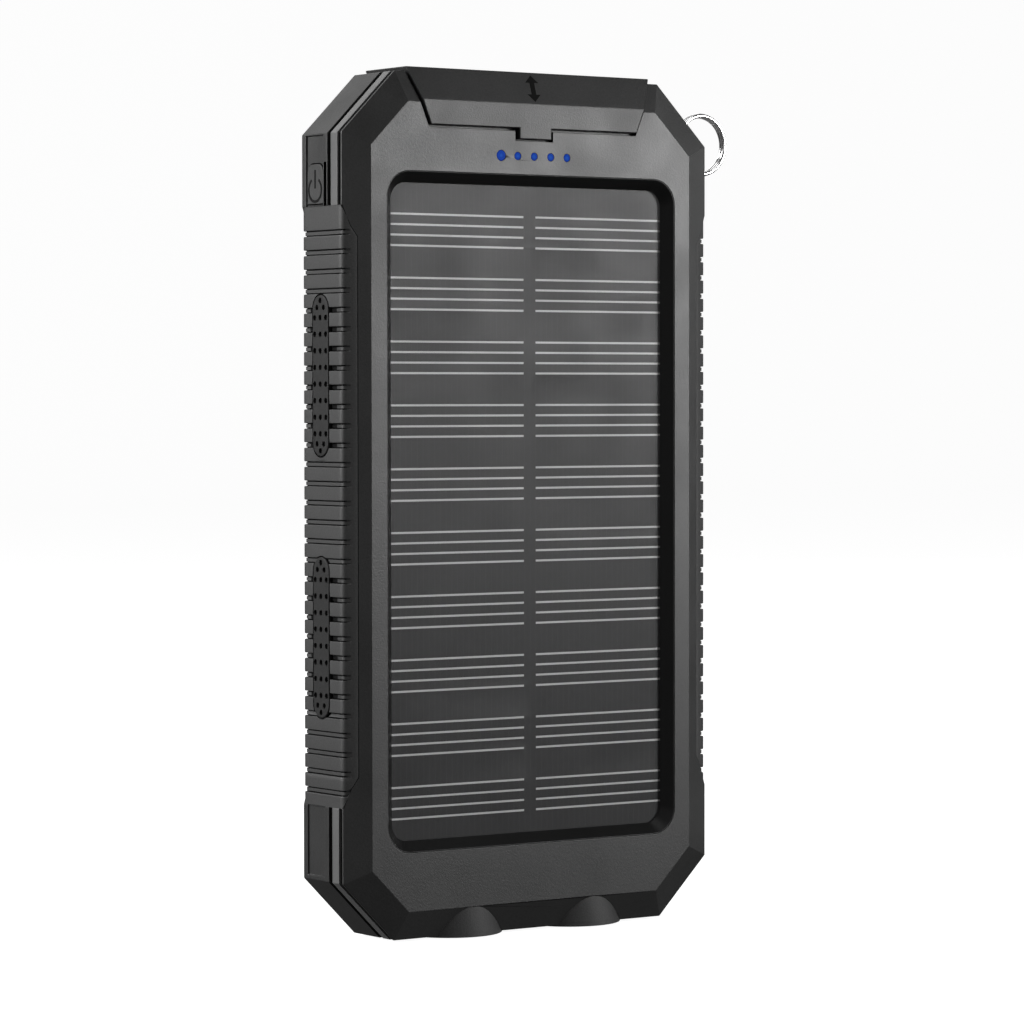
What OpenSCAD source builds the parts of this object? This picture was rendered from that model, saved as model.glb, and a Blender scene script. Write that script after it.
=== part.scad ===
// Solar phone charger: a pocket power bank with a solar panel on its face, two
// torches in its lower end, rubber side grips and a hinged rubber port cover.
//
// Frame: +X to the right seen from the panel side, +Z up along the long side,
// and the panel faces -Y. The origin is the centre of the flat back face.
// Inside each module the second coordinate is the depth behind the panel-side
// face; stand() moves the finished piece so that the back face lies at y = 0.

/* [Body] */
// Width across the side grips
body_w = 78.5; // [76:0.5:82]
// Height from end to end, without the port cover and the torch rims
body_h = 150.3; // [148:0.1:156]
// Thickness from the panel side to the back
body_t = 16; // [16:0.1:17]
// Size of the 45 degree cuts at the two lower corners
corner_cut = 10.4; // [9.5:0.1:11]
// Size of the 45 degree cuts at the two upper corners
top_cut = 10.9; // [10.4:0.05:11.1]
// How far the sloped border runs in from the edge, seen from the front
bevel_run = 4.93; // [4.5:0.01:5.2]
// How far the sloped border falls away in depth
bevel_fall = 1.65; // [1.5:0.01:1.8]

/* [Solar panel] */
// Width of the panel that shows
panel_w = 58.1; // [54:0.1:60]
// Height of the panel that shows
panel_h = 113.9; // [108:0.1:115]
// Depth of the panel below the face
panel_sunk = 1.87; // [1.8:0.01:2]
// Groups of silver lines down the panel
line_groups = 10; // [4:1:11]
// Distance from one group to the next
group_pitch = 11.04; // [10:0.01:11.5]

/* [Torches] */
// Distance of each torch axis from the centre line
torch_x = 13; // [12:0.1:14]
// Radius of a torch bezel at its rim
torch_rim_r = 9.4; // [9:0.1:9.6]
// Radius of a torch bezel where it leaves the face
torch_root_r = 7.9; // [7.7:0.1:7.9]

/* [Side grips] */
// Height of each rubber grip
grip_h = 103.7; // [98:0.1:104]
// Ribs are parted by this many grooves
grip_grooves = 30; // [10:1:30]
// Distance from one groove to the next
groove_pitch = 3.32; // [3:0.01:3.35]

/* [Power button] */
// How far the button travels
button_travel = 0.5; // [0.3:0.05:0.5]

/* [Key ring] */
// Radius of the ring to the middle of its wire
ring_r = 5.3; // [5:0.1:5.5]
// Thickness of the ring's wire
ring_wire = 0.9; // [0.8:0.05:0.95]

/* [Hidden] */
$fn = 48;
eps = 0.01;
far = 200;

// A flat offset of the octagon by t shortens its corner cut by this much per mm
cut_rate = 2 - sqrt(2);

// Depths where the shells meet, and the two dark grooves around the edge
groove_depth = 0.5;
front_edge_end = 2.1;
front_joint = 2.55;
strip_start = 3.0;
strip_end = 5.15;
back_joint = 5.7;
back_side_start = 6.2;
back_side_end = body_t - bevel_fall;

// Walls
wall = 2.3;
face_plate = 1.3;
face_plate_inset = 4;
floor_plate = 1.6;
floor_depth = body_t - floor_plate;
deck_front = 4;
deck_back = 5;
deck_top = 48;
deck_bottom = -61;
half_w = body_w / 2;
half_h = body_h / 2;

// Solar panel: the opening in the face is wider than the panel by the sloped wall
panel_z = -1.02;
slope_run = 2;
opening_r = 4.6;
panel_r = 3;
surround_flange = 2;
window_t = 0.35;
cells_t = 0.25;
substrate_t = 1.2;
laminate_w = panel_w + 4.4;
laminate_h = panel_h + 4.4;
lines_per_group = 4;
line_pitch = 1.82;
line_t = 0.35;
line_gap = 2.6;
line_gap_x = 0.5;
first_line_z = 50.6;

// Port cover, in depth and height, closed
cover_proud = 0.5;
cover_top = half_h + 0.85;
cover_bottom = 66.05;
cover_leg_back = 1.1;
cover_under = half_h - 1.05;
cover_back = 14.2;
cover_half_w = 22.15;
cover_flare = 0.41;
cover_gap = 0.3;
cover_clear = 0.1;
tab_half_w = 3.4;
tab_bottom = 64.15;
notch_half_w = 4;
notch_bottom = 63.85;
bevel_slope = bevel_fall / bevel_run;
face_top = half_h - bevel_run;
face_drop = 0.35;
cover_ridge = face_top + 0.1;
hinge_depth = 15;
hinge_z = half_h + 0.05;
tether_half_w = 11;
shelf_half_w = 28.2;

// Ports
port_plate_half_w = 24.2;
port_plate_front = 2.7;
port_plate_back = 13.4;
port_plate_top = cover_under - 0.2;
port_plate_t = 2.1;
usb_a_x = 16.5;
usb_a_w = 13.2;
usb_a_t = 5.8;
usb_a_len = 14;
usb_wall = 0.35;
usb_c_w = 8.94;
usb_c_t = 3.2;
usb_c_len = 7.4;
board_front = 10;
board_back = 11.2;
board_top = 71.4;
board_bottom = 49;
board_half_w = 33;

// Battery indicator
indicator_z = 61.15;
indicator_pitch = 3.55;
indicator_r = 0.68;
status_r = 0.92;

// Screws: case screws from the back, board screws from the front
case_screws_at = [[-29.5, 63], [29.5, 63], [-34.1, 0], [34.1, 0], [-30, -66.4], [30, -66.4]];
board_screws_at = [[-27.5, 53.5], [0, 52], [27.5, 53.5]];
boss_r = 2.5;
screw_r = 1;
screw_head_r = 1.9;

// Battery
battery_w = 60;
battery_bottom = -59;
battery_top = 44;
cell_t = 4.3;

// Torches
torch_depth = body_t / 2;
torch_root_z = 0.32 - face_top;
torch_rim_z = -half_h - 0.25;
lens_r = 7.15;
lens_front = -half_h + 0.95;
lens_t = 1.3;
reflector_r = 6.4;
reflector_focus = 1.15;
reflector_mouth = lens_front + lens_t;
reflector_back = -64;
// Rib between the torches that joins the end wall to the deck
torch_rib_half_w = 1.4;

// Grips
grip_t = 0.9;
grip_lap = 0.53 * bevel_run;
rib_cut = 0.5;
groove_w = 0.6;
pad_len = 28;
pad_w = 5.1;
pad_z = 22.6;
pad_depth = 8.45;
pad_proud = 0.1;

// Power button on the left side
button_recess = 0.35;
recess_front = 7.6;
recess_back = 13.05;
recess_bottom = grip_h / 2 - 0.05;
recess_top = 64;
slot_near = 6.6;
slot_far = 7.35;
button_front = 7.85;
button_back = 12.8;
button_bottom = 52.2;
button_top = 59.1;
button_gap = 0.12;
button_proud = 0.2;
button_inner = 36.2;
switch_z = 55.7;
switch_depth = 8.3;
plunger_r = 0.8;
plunger_clear = 0.05;

// Key ring and its steel post in the top right corner
post_x = 38.05;
post_z = 63.75;
post_r = 0.7;
ring_depth = 6.5;
ring_angle = 17;
ring_low = -40;
ring_high = 25;
ring_offset = ring_r - ring_wire / 2 - post_r - 0.12;
slot_front = strip_end;
slot_back = 7.8;

// ---------------------------------------------------------------- helpers

module stand() {
    translate([0, -body_t, 0]) children();
}

// A flat shape in width and height, drawn out over a span of depth
module through_depth(from, to) {
    translate([0, to, 0]) rotate([90, 0, 0]) linear_extrude(to - from) children();
}

// A flat shape in depth and height, drawn out over a span of width
module across(from, to) {
    translate([from, 0, 0]) rotate([90, 0, 90]) linear_extrude(to - from) children();
}

module block(x0, x1, d0, d1, z0, z1) {
    translate([x0, d0, z0]) cube([x1 - x0, d1 - d0, z1 - z0]);
}

// Octagon with its own corner cuts below and above, and its upper edge let down by a drop
function octagon(w, h, low, high, drop) = [
    [w / 2, -h / 2 + low], [w / 2, h / 2 - high],
    [w / 2 - high + drop, h / 2 - drop], [-w / 2 + high - drop, h / 2 - drop],
    [-w / 2, h / 2 - high], [-w / 2, -h / 2 + low], [-w / 2 + low, -h / 2],
    [w / 2 - low, -h / 2]
];

// The body's outline, drawn in by an inset
function outline(inset, drop = 0) =
    octagon(body_w - 2 * inset, body_h - 2 * inset, corner_cut - inset * cut_rate,
        top_cut - inset * cut_rate, drop);

module outline_slab(inset, from, to) {
    through_depth(from, to) polygon(outline(inset));
}

// Flat-sided frustum between two outlines, the first nearer the front
module bevel_slab(line_a, depth_a, line_b, depth_b) {
    n = len(line_a);
    polyhedron(
        points = concat(
            [for (p = line_a) [p[0], depth_a, p[1]]],
            [for (p = line_b) [p[0], depth_b, p[1]]]
        ),
        faces = concat(
            [[for (i = [n - 1:-1:0]) i], [for (i = [0:n - 1]) i + n]],
            [for (i = [0:n - 1]) [i, (i + 1) % n, (i + 1) % n + n, i + n]]
        )
    );
}

module rounded_rect(w, h, r) {
    square([w - 2 * r, h], center = true);
    square([w, h - 2 * r], center = true);
    for (x = [-1, 1], y = [-1, 1])
        translate([x * (w / 2 - r), y * (h / 2 - r)]) circle(r);
}

module stadium(length, width) {
    square([width, length - width], center = true);
    for (y = [-1, 1])
        translate([0, y * (length - width) / 2]) circle(width / 2);
}

// Round wire through a list of points, with ball corners
module wire(points, r) {
    for (i = [0:len(points) - 2]) {
        run = points[i + 1] - points[i];
        length = norm(run);
        turn = atan2(run[1], run[0]);
        tilt = acos(run[2] / length);
        translate(points[i]) rotate([0, tilt, turn]) cylinder(h = length, r = r, $fn = 16);
        if (i > 0) translate(points[i]) sphere(r, $fn = 16);
    }
}

module case_bosses(from, to) {
    for (at = case_screws_at)
        translate([at[0], to, at[1]]) rotate([90, 0, 0]) cylinder(h = to - from, r = boss_r);
}

// Webs that join the corner bosses to the walls
module boss_webs(from, to) {
    for (at = case_screws_at)
        if (at[1] != 0)
            intersection() {
                outline_slab(1, from, to);
                translate([at[0], 0, at[1]])
                    rotate([0, -atan2(sign(at[1]), sign(at[0])), 0])
                        block(0, 9, from, to, -0.8, 0.8);
            }
}

module case_bores(from, to, r) {
    for (at = case_screws_at)
        translate([at[0], to, at[1]]) rotate([90, 0, 0]) cylinder(h = to - from, r = r);
}

// ---------------------------------------------------------------- shared cutters

// The room that the closed port cover takes out of the shells
module cover_room() {
    inner = cover_leg_back + cover_clear;
    floor_z = cover_under - cover_clear;
    corner_z = cover_ridge - 0.25;
    intersection() {
        across(-far, far) polygon([
            [-2, cover_bottom - 0.45], [-2, cover_top + 1], [body_t + 1, cover_top + 1],
            [body_t + 1, floor_z], [inner + (floor_z - corner_z) * bevel_slope, floor_z],
            [inner, corner_z], [inner, cover_bottom - 0.45]
        ]);
        cover_width(cover_gap);
    }
    block(-notch_half_w, notch_half_w, -2, inner, notch_bottom, cover_bottom + 1);
}

// Trapezoid that bounds the port cover in width, grown by a gap
module cover_width(gap) {
    low = 60;
    high = 80;
    low_w = cover_half_w + (low - cover_bottom) * cover_flare + gap;
    high_w = cover_half_w + (high - cover_bottom) * cover_flare + gap;
    through_depth(-5, body_t + 5)
        polygon([[-low_w, low], [low_w, low], [high_w, high], [-high_w, high]]);
}

module port_window() {
    block(-port_plate_half_w, port_plate_half_w, port_plate_front, port_plate_back,
        port_plate_top - port_plate_t, half_h + 1);
}

// The gap in the deck and the panel's tape that lets the solar leads through
module lead_gap() {
    block(-15, -9, 0, deck_back + 1, 43.5, deck_top + 1);
}

// The flared outside of both torch bezels, which notch the lower end
module torch_rooms() {
    for (side = [-1, 1])
        translate([side * torch_x, torch_depth, torch_rim_z])
            cylinder(h = torch_root_z - torch_rim_z, r1 = torch_rim_r, r2 = torch_root_r);
}

// Inner line of the right grip in width and depth, at a distance under its surface
function grip_line(under) = let (
    lap_x = half_w - grip_lap - 1,
    lap_d = bevel_fall - (grip_lap + 1) * bevel_slope,
    sunk = under * sqrt(1 + bevel_slope * bevel_slope),
    turn_d = bevel_fall - under * bevel_slope + sunk
) [
    [lap_x, lap_d + sunk], [half_w - under, turn_d], [half_w - under, body_t - turn_d],
    [lap_x, body_t - lap_d - sunk]
];

// Span of the right grip in width and height: its ends draw in over the bevels
module grip_span() {
    lap_x = half_w - grip_lap;
    end = grip_h / 2;
    polygon([
        [lap_x, -end + 5.5], [lap_x, end - 5.5], [lap_x + 1.25, end - 3.5],
        [half_w, end], [half_w + 2, end], [half_w + 2, -end], [half_w, -end],
        [lap_x + 1.25, -end + 3.5]
    ]);
}

// Everything outside a line under the right grip's surface
module grip_skin(under) {
    difference() {
        through_depth(-2, body_t + 2) grip_span();
        translate([0, 0, -half_h]) linear_extrude(body_h) polygon(grip_line(under));
    }
}

module grip_blank() {
    difference() {
        grip_skin(grip_t);
        grip_skin(0);
    }
}

// Everything that both sides of the shells give up to the grips
module grip_rooms() {
    grip_skin(grip_t);
    mirror([1, 0, 0]) grip_skin(grip_t);
}

module post(from, to, r) {
    translate([post_x, to, post_z]) rotate([90, 0, 0]) cylinder(h = to - from, r = r);
}

// The room that the key ring sweeps as it swings on its post
module ring_slot() {
    through_depth(slot_front, slot_back)
        for (swing = [ring_low:13:ring_high])
            translate([post_x, post_z]) rotate(ring_angle + swing)
                translate([ring_offset, 0]) circle(ring_r + ring_wire / 2 + 0.3);
}

// Solid corner that holds the post, inside the walls
module post_corner(from, to) {
    intersection() {
        outline_slab(1, from, to);
        block(32.65, half_w, from, to, 55.5, 72);
    }
}

// ---------------------------------------------------------------- shells

module front_bezel() {
    color("#4b4b4c") stand() difference() {
        union() {
            difference() {
                union() {
                    bevel_slab(outline(bevel_run, face_drop), 0, outline(0), bevel_fall);
                    outline_slab(0, bevel_fall, front_edge_end);
                    outline_slab(groove_depth, front_edge_end, front_joint);
                }
                outline_slab(face_plate_inset, face_plate, front_joint + eps);
            }
            block(-shelf_half_w, shelf_half_w, face_plate - eps, front_joint,
                notch_bottom - 0.6, face_top + 1);
            case_bosses(face_plate - eps, front_joint);
        }
        through_depth(-eps, front_joint + 1) translate([0, panel_z])
            rounded_rect(panel_w + 2 * slope_run, panel_h + 2 * slope_run, opening_r);
        cover_room();
        for (i = [-2:2])
            translate([i * indicator_pitch, front_joint, indicator_z]) rotate([90, 0, 0])
                cylinder(h = front_joint + 1, r = i == -2 ? status_r : indicator_r);
        torch_rooms();
        grip_rooms();
        case_bores(0.9, front_joint + 1, screw_r);
    }
}

module mid_frame() {
    color("#5a5b5d") stand() difference() {
        union() {
            difference() {
                union() {
                    outline_slab(groove_depth, front_joint, strip_start);
                    outline_slab(0, strip_start, strip_end);
                    outline_slab(groove_depth, strip_end, back_joint);
                }
                outline_slab(wall, front_joint - 1, back_joint + 1);
            }
            intersection() {
                outline_slab(1, deck_front, deck_back);
                block(-half_w, half_w, deck_front, deck_back, deck_bottom, deck_top);
            }
            case_bosses(front_joint, back_joint);
            boss_webs(front_joint, back_joint);
            block(-torch_rib_half_w, torch_rib_half_w, front_joint, back_joint,
                1 - half_h, deck_bottom + 0.5);
            post_corner(front_joint, back_joint);
        }
        cover_room();
        port_window();
        torch_rooms();
        grip_rooms();
        ring_slot();
        seal_ring(front_joint - 1, front_joint + 0.4);
        post(3.2, back_joint + 1, post_r);
        case_bores(front_joint - 1, back_joint + 1, screw_r);
        lead_gap();
    }
}

module back_shell() {
    color("#3a3a3b") stand() difference() {
        union() {
            difference() {
                union() {
                    outline_slab(groove_depth, back_joint, back_side_start);
                    outline_slab(0, back_side_start, back_side_end);
                    bevel_slab(outline(0), back_side_end, outline(bevel_run), body_t);
                }
                outline_slab(wall, back_joint - 1, floor_depth);
            }
            case_bosses(back_joint, body_t - 1);
            post_corner(back_joint, 11.5);
            for (at = board_screws_at)
                translate([at[0], floor_depth + eps, at[1]]) rotate([90, 0, 0])
                    cylinder(h = floor_depth - board_back, r = 2.2);
        }
        cover_room();
        port_window();
        torch_rooms();
        grip_rooms();
        ring_slot();
        post(back_joint - 1, 10.6, post_r);
        case_bores(back_joint - 1, body_t + 1, screw_r);
        case_bores(body_t - 1.8, body_t + 1, screw_head_r + 0.1);
        for (at = board_screws_at)
            translate([at[0], floor_depth, at[1]]) rotate([90, 0, 0])
                cylinder(h = floor_depth - board_back + 1, r = 0.8);
        tether_profile(tether_half_w + 0.1);
        button_opening();
        side_panels();
    }
}

// Recesses in the sides above and below the grips
module side_panels() {
    for (side = [-1, 1]) {
        x = side * half_w;
        translate([x, 0, 0]) {
            block(-button_recess, button_recess, recess_front, recess_back,
                -recess_top, -recess_bottom);
            if (side < 0) {
                block(-button_recess, button_recess, recess_front, recess_back,
                    recess_bottom, recess_top);
                block(-0.8, 0.8, slot_near, slot_far, recess_bottom, 59.3);
            }
        }
    }
}

module button_opening() {
    mid = (button_front + button_back) / 2;
    translate([-half_w - 1, 0, 0]) across(0, wall + 2) button_face(mid, button_gap);
}

// Face of the power button in depth and height: square below, rounded above
module button_face(mid, grow) {
    w = button_back - button_front + 2 * grow;
    r = 1.6;
    top = button_top + grow;
    bottom = button_bottom - grow;
    translate([mid - w / 2, bottom]) square([w, top - bottom - r]);
    translate([mid - w / 2 + r, bottom]) square([w - 2 * r, top - bottom]);
    for (side = [-1, 1])
        translate([mid + side * (w / 2 - r), top - r]) circle(r);
}

module port_plate() {
    color("#161617") stand() difference() {
        block(-port_plate_half_w, port_plate_half_w, port_plate_front, port_plate_back,
            port_plate_top - port_plate_t, port_plate_top);
        for (side = [-1, 1])
            block(side * usb_a_x - usb_a_w / 2, side * usb_a_x + usb_a_w / 2,
                board_front - usb_a_t, board_front, 60, 80);
        translate([0, board_front - usb_c_t / 2, 65]) linear_extrude(20) rotate(90)
            stadium(usb_c_w, usb_c_t);
    }
}

// ---------------------------------------------------------------- side grips

module ribbed_grip() {
    difference() {
        grip_blank();
        for (i = [0:grip_grooves - 1])
            translate([0, 0, (i - (grip_grooves - 1) / 2) * groove_pitch - groove_w / 2])
                linear_extrude(groove_w) difference() {
                    translate([half_w - 6, -2]) square([8, body_t + 4]);
                    polygon(grip_line(rib_cut));
                }
        for (side = [-1, 1])
            translate([half_w - 0.7, 0, side * pad_z]) across(0, 2) translate([pad_depth, 0])
                stadium(pad_len, pad_w);
    }
}

module grip_left() {
    color("#4a4a4b") stand() mirror([1, 0, 0]) ribbed_grip();
}

module grip_right() {
    color("#4a4a4b") stand() ribbed_grip();
}

module grip_pad(side, height) {
    color("#1d1d1f") stand() mirror([side < 0 ? 1 : 0, 0, 0])
        translate([half_w - 0.7, 0, height * pad_z]) across(0, 0.7 + pad_proud)
            translate([pad_depth, 0]) stadium(pad_len, pad_w);
}

module grip_pad_left_upper() { grip_pad(-1, 1); }
module grip_pad_left_lower() { grip_pad(-1, -1); }
module grip_pad_right_upper() { grip_pad(1, 1); }
module grip_pad_right_lower() { grip_pad(1, -1); }

// ---------------------------------------------------------------- solar panel

// Black frame whose sloped wall leads from the face down to the panel
module panel_surround() {
    color("#141415") stand() difference() {
        translate([0, 0, panel_z]) union() {
            through_depth(0.1, panel_sunk)
                rounded_rect(panel_w + 2 * slope_run, panel_h + 2 * slope_run, opening_r);
            through_depth(face_plate, panel_sunk)
                rounded_rect(panel_w + 2 * slope_run + 2 * surround_flange,
                    panel_h + 2 * slope_run + 2 * surround_flange, 5.5);
        }
        case_bores(face_plate - 1, panel_sunk + 1, boss_r + 0.15);
        translate([0, 0, panel_z]) hull() {
            through_depth(-0.1, -0.05)
                rounded_rect(panel_w + 2 * slope_run, panel_h + 2 * slope_run, opening_r);
            through_depth(panel_sunk, panel_sunk + 0.05)
                rounded_rect(panel_w, panel_h, panel_r);
        }
    }
}

module laminate_layer(from, to) {
    stand() translate([0, 0, panel_z]) through_depth(from, to)
        rounded_rect(laminate_w, laminate_h, 2);
}

module panel_window() {
    color("#8a9096", 0.35) laminate_layer(panel_sunk, panel_sunk + window_t);
}

module line_boxes(grow) {
    reach = panel_w / 2 + 1;
    for (g = [0:line_groups - 1], i = [0:lines_per_group - 1], side = [-1, 1]) {
        z = first_line_z - g * group_pitch - i * line_pitch;
        a = line_gap_x + side * (line_gap / 2 - grow);
        b = side * (reach + grow);
        block(min(a, b), max(a, b), panel_sunk + window_t, panel_sunk + window_t + 0.1,
            z - line_t / 2 - grow, z + line_t / 2 + grow);
    }
}

module solar_cells() {
    color("#26282c") difference() {
        laminate_layer(panel_sunk + window_t, panel_sunk + window_t + cells_t);
        stand() line_boxes(0);
    }
}

module cell_busbars() {
    color("#c9cbcd") stand() line_boxes(0);
}

module panel_substrate() {
    front = panel_sunk + window_t + cells_t;
    color("#1c3a2b") laminate_layer(front, front + substrate_t);
}

module panel_tape() {
    color("#202020") stand() difference() {
        translate([0, 0, panel_z])
            through_depth(panel_sunk + window_t + cells_t + substrate_t, deck_front)
                rounded_rect(laminate_w - 4, laminate_h - 20, 2);
        through_depth(0, 10) translate([0, panel_z])
            rounded_rect(laminate_w - 12, laminate_h - 28, 2);
        lead_gap();
    }
}

// ---------------------------------------------------------------- seal and lights

module seal_ring(from, to) {
    difference() {
        outline_slab(1.1, from, to);
        outline_slab(1.9, from - 1, to + 1);
        block(-port_plate_half_w - 3, port_plate_half_w + 3, -1, body_t, 70, 80);
        block(-torch_x - 11, torch_x + 11, -1, body_t, -80, -70);
    }
}

module housing_seal() {
    color("#b24a2a") stand() difference() {
        seal_ring(front_joint, front_joint + 0.4);
        case_bores(0, body_t, screw_r + 0.2);
    }
}

module light_guide() {
    color("#9fc0ff", 0.6) stand() {
        block(-9, 9, 2.8, 3.8, indicator_z - 0.85, indicator_z + 0.85);
        for (i = [-2:2])
            translate([i * indicator_pitch, 9.2, indicator_z]) rotate([90, 0, 0])
                cylinder(h = 9.2, r = i == -2 ? status_r : indicator_r);
    }
}

module indicator_leds() {
    color("#e8edf5") stand() for (i = [-2:2])
        block(i * indicator_pitch - 0.8, i * indicator_pitch + 0.8, 9.3, board_front,
            indicator_z - 0.5, indicator_z + 0.5);
}

// ---------------------------------------------------------------- circuit board

module circuit_board() {
    cut = 8;
    color("#16452f") stand() difference() {
        through_depth(board_front, board_back) polygon([
            [-board_half_w, board_bottom], [board_half_w - 0.6, board_bottom],
            [board_half_w - 0.6, board_top - cut], [board_half_w - cut, board_top],
            [-board_half_w + cut, board_top], [-board_half_w, board_top - cut]
        ]);
        case_bores(0, body_t, boss_r + 0.3);
        for (at = board_screws_at)
            translate([at[0], board_back + 1, at[1]]) rotate([90, 0, 0])
                cylinder(h = 4, r = screw_r);
    }
}

module usb_a_shell(side) {
    top = port_plate_top;
    x = side * usb_a_x;
    color("silver") stand() difference() {
        block(x - usb_a_w / 2, x + usb_a_w / 2, board_front - usb_a_t, board_front,
            top - usb_a_len, top);
        block(x - usb_a_w / 2 + usb_wall, x + usb_a_w / 2 - usb_wall,
            board_front - usb_a_t + usb_wall, board_front - usb_wall,
            top - usb_a_len + usb_wall, top + 1);
    }
}

module usb_a_shell_left() { usb_a_shell(-1); }
module usb_a_shell_right() { usb_a_shell(1); }

// Insulator with its contact tongue
module usb_a_tongue(side) {
    top = port_plate_top;
    x = side * usb_a_x;
    color("#f2f2f0") stand() {
        block(x - usb_a_w / 2 + usb_wall, x + usb_a_w / 2 - usb_wall,
            board_front - usb_a_t + usb_wall, board_front - usb_wall,
            top - usb_a_len + usb_wall, top - usb_a_len + 2.6);
        block(x - 5.55, x + 5.55, board_front - usb_a_t + 0.9, board_front - usb_a_t + 2.74,
            top - usb_a_len + 2, top - 1.6);
    }
}

module usb_a_tongue_left() { usb_a_tongue(-1); }
module usb_a_tongue_right() { usb_a_tongue(1); }

module usb_c_shell() {
    color("silver") stand()
        translate([0, board_front - usb_c_t / 2, port_plate_top - usb_c_len]) difference() {
            linear_extrude(usb_c_len) rotate(90) stadium(usb_c_w, usb_c_t);
            translate([0, 0, usb_wall]) linear_extrude(usb_c_len) rotate(90)
                stadium(usb_c_w - 0.6, usb_c_t - 0.6);
        }
}

module usb_c_tongue() {
    color("#1a1a1a") stand()
        translate([0, board_front - usb_c_t / 2, port_plate_top - usb_c_len + usb_wall]) {
            linear_extrude(1.2) rotate(90) stadium(usb_c_w - 0.6, usb_c_t - 0.6);
            translate([-3.35, -0.35, 0.6]) cube([6.7, 0.7, usb_c_len - 2]);
        }
}

module power_inductor() {
    color("#3b3b3e") stand() {
        block(-21, -14, 6.6, board_front, 50.5, 57.5);
        translate([-17.5, 6.6 + eps, 54]) rotate([90, 0, 0]) cylinder(h = 0.3, r = 2.6);
    }
}

module controller_chip() {
    color("#111112") stand() {
        block(8, 13, 9.1, board_front, 52.5, 57.5);
        block(15.5, 19.5, 8.9, board_front, 51, 54.5);
    }
}

module capacitors() {
    color("#a9773f") stand() {
        for (x = [-9:2.6:-3.8], z = [51.5, 55.5])
            block(x - 0.8, x + 0.8, 8.8, board_front, z - 0.6, z + 0.6);
        for (x = [4.2, 22.5])
            block(x - 1.2, x + 1.2, 8.2, board_front, 55, 58);
    }
}

// ---------------------------------------------------------------- power button

module tact_switch() {
    color("#2a2a2c") stand() difference() {
        block(-35.2, -31.7, 6.6, board_front, switch_z - 2.3, switch_z + 2.3);
        translate([-36, switch_depth, switch_z]) rotate([0, 90, 0])
            cylinder(h = 2.1, r = plunger_r + plunger_clear);
    }
}

module switch_plunger() {
    color("#c8c8c8") stand() translate([-button_inner + 0.05, switch_depth, switch_z])
        rotate([0, 90, 0]) cylinder(h = 1.65, r = plunger_r);
}

module power_button() {
    mid = (button_front + button_back) / 2;
    outer = half_w - button_recess + button_proud;
    color("#3c3c3e") stand() {
        translate([-outer, 0, 0]) across(0, outer - button_inner) button_face(mid, 0);
        block(-half_w + wall + 0.05, -button_inner, 7.2, 13.4, button_bottom - 0.4,
            button_top + 0.5);
    }
}

// ---------------------------------------------------------------- battery and leads

module battery_cell(front) {
    stand() block(-battery_w / 2, battery_w / 2, front, front + cell_t,
        battery_bottom, battery_top);
}

module battery_cell_front() {
    color("#b9bcc0") battery_cell(deck_back + 0.2);
}

module battery_cell_back() {
    color("#b9bcc0") battery_cell(deck_back + 0.4 + cell_t);
}

module battery_tape() {
    middle = deck_back + 0.2 + cell_t;
    last = middle + 0.2 + cell_t;
    color("#e9e4d4") stand() {
        for (z = [battery_bottom + 6, battery_top - 26]) {
            block(-24, 24, middle, middle + 0.2, z, z + 20);
            block(-24, 24, last, floor_depth, z, z + 20);
        }
    }
}

module battery_leads() {
    color("#b3261e") stand() for (x = [-6, 6])
        wire([[x, 8.2, battery_top], [x, 8.2, 47], [x, 11.9, 47], [x, 11.9, 50.6]], 0.7);
}

module solar_leads() {
    back = panel_sunk + window_t + cells_t + substrate_t;
    color("#222222") stand() for (x = [-13.2, -10.8])
        wire([[x, back, 45.5], [x, 7.4, 45.5], [x, 7.4, 51], [x, board_front, 51]], 0.5);
}

module torch_leads() {
    color("#a8a8a8") stand() for (side = [-1, 1])
        wire([[side * 19, 12.2, -62.5], [side * 19, 12.2, -60.6], [side * 30.8, 12.2, -60.6],
            [side * 30.8, 12.2, 46.5], [side * 24, 12.2, 50.5], [side * 24, board_back, 50.5]],
            0.55);
}

// ---------------------------------------------------------------- torches

module torch_board() {
    color("#d6d9dc") stand() difference() {
        block(-21.5, 21.5, 2.4, 13.8, -63.5, -62.5);
        block(-torch_rib_half_w - 0.2, torch_rib_half_w + 0.2, 0, back_joint + 0.2, -64, -62);
    }
}

module torch_emitters() {
    color("#f3e9a0") stand() for (side = [-1, 1])
        translate([side * torch_x, torch_depth, -63.5]) {
            translate([-1.2, -1.2, -0.9]) cube([2.4, 2.4, 0.9]);
            translate([0, 0, -0.9]) sphere(0.85);
        }
}

function bowl_z(r) = reflector_back - r * r / (4 * reflector_focus);

// Parabolic bowl that opens downwards, with a thin wall and a hole for the emitter
module torch_reflector(side) {
    hole_r = 1.8;
    steps = 10;
    skin = 0.55;
    radii = [for (i = [0:steps]) hole_r + (reflector_r - hole_r) * i / steps];
    color("#d9dadc") stand() translate([side * torch_x, torch_depth, 0]) rotate_extrude()
        polygon(concat(
            [for (r = radii) [r, max(bowl_z(r), reflector_mouth)]],
            [[reflector_r + skin, reflector_mouth], [reflector_r + skin, reflector_mouth + 1]],
            [for (i = [steps - 1:-1:1]) [radii[i] + skin, bowl_z(radii[i]) + skin]],
            [[hole_r + skin, reflector_back + 0.3], [hole_r, reflector_back + 0.3]]
        ));
}

module torch_reflector_left() { torch_reflector(-1); }
module torch_reflector_right() { torch_reflector(1); }

module torch_lens(side) {
    color("#dfe9f0", 0.4) stand() translate([side * torch_x, torch_depth, lens_front])
        cylinder(h = lens_t, r = lens_r);
}

module torch_lens_left() { torch_lens(-1); }
module torch_lens_right() { torch_lens(1); }

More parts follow.
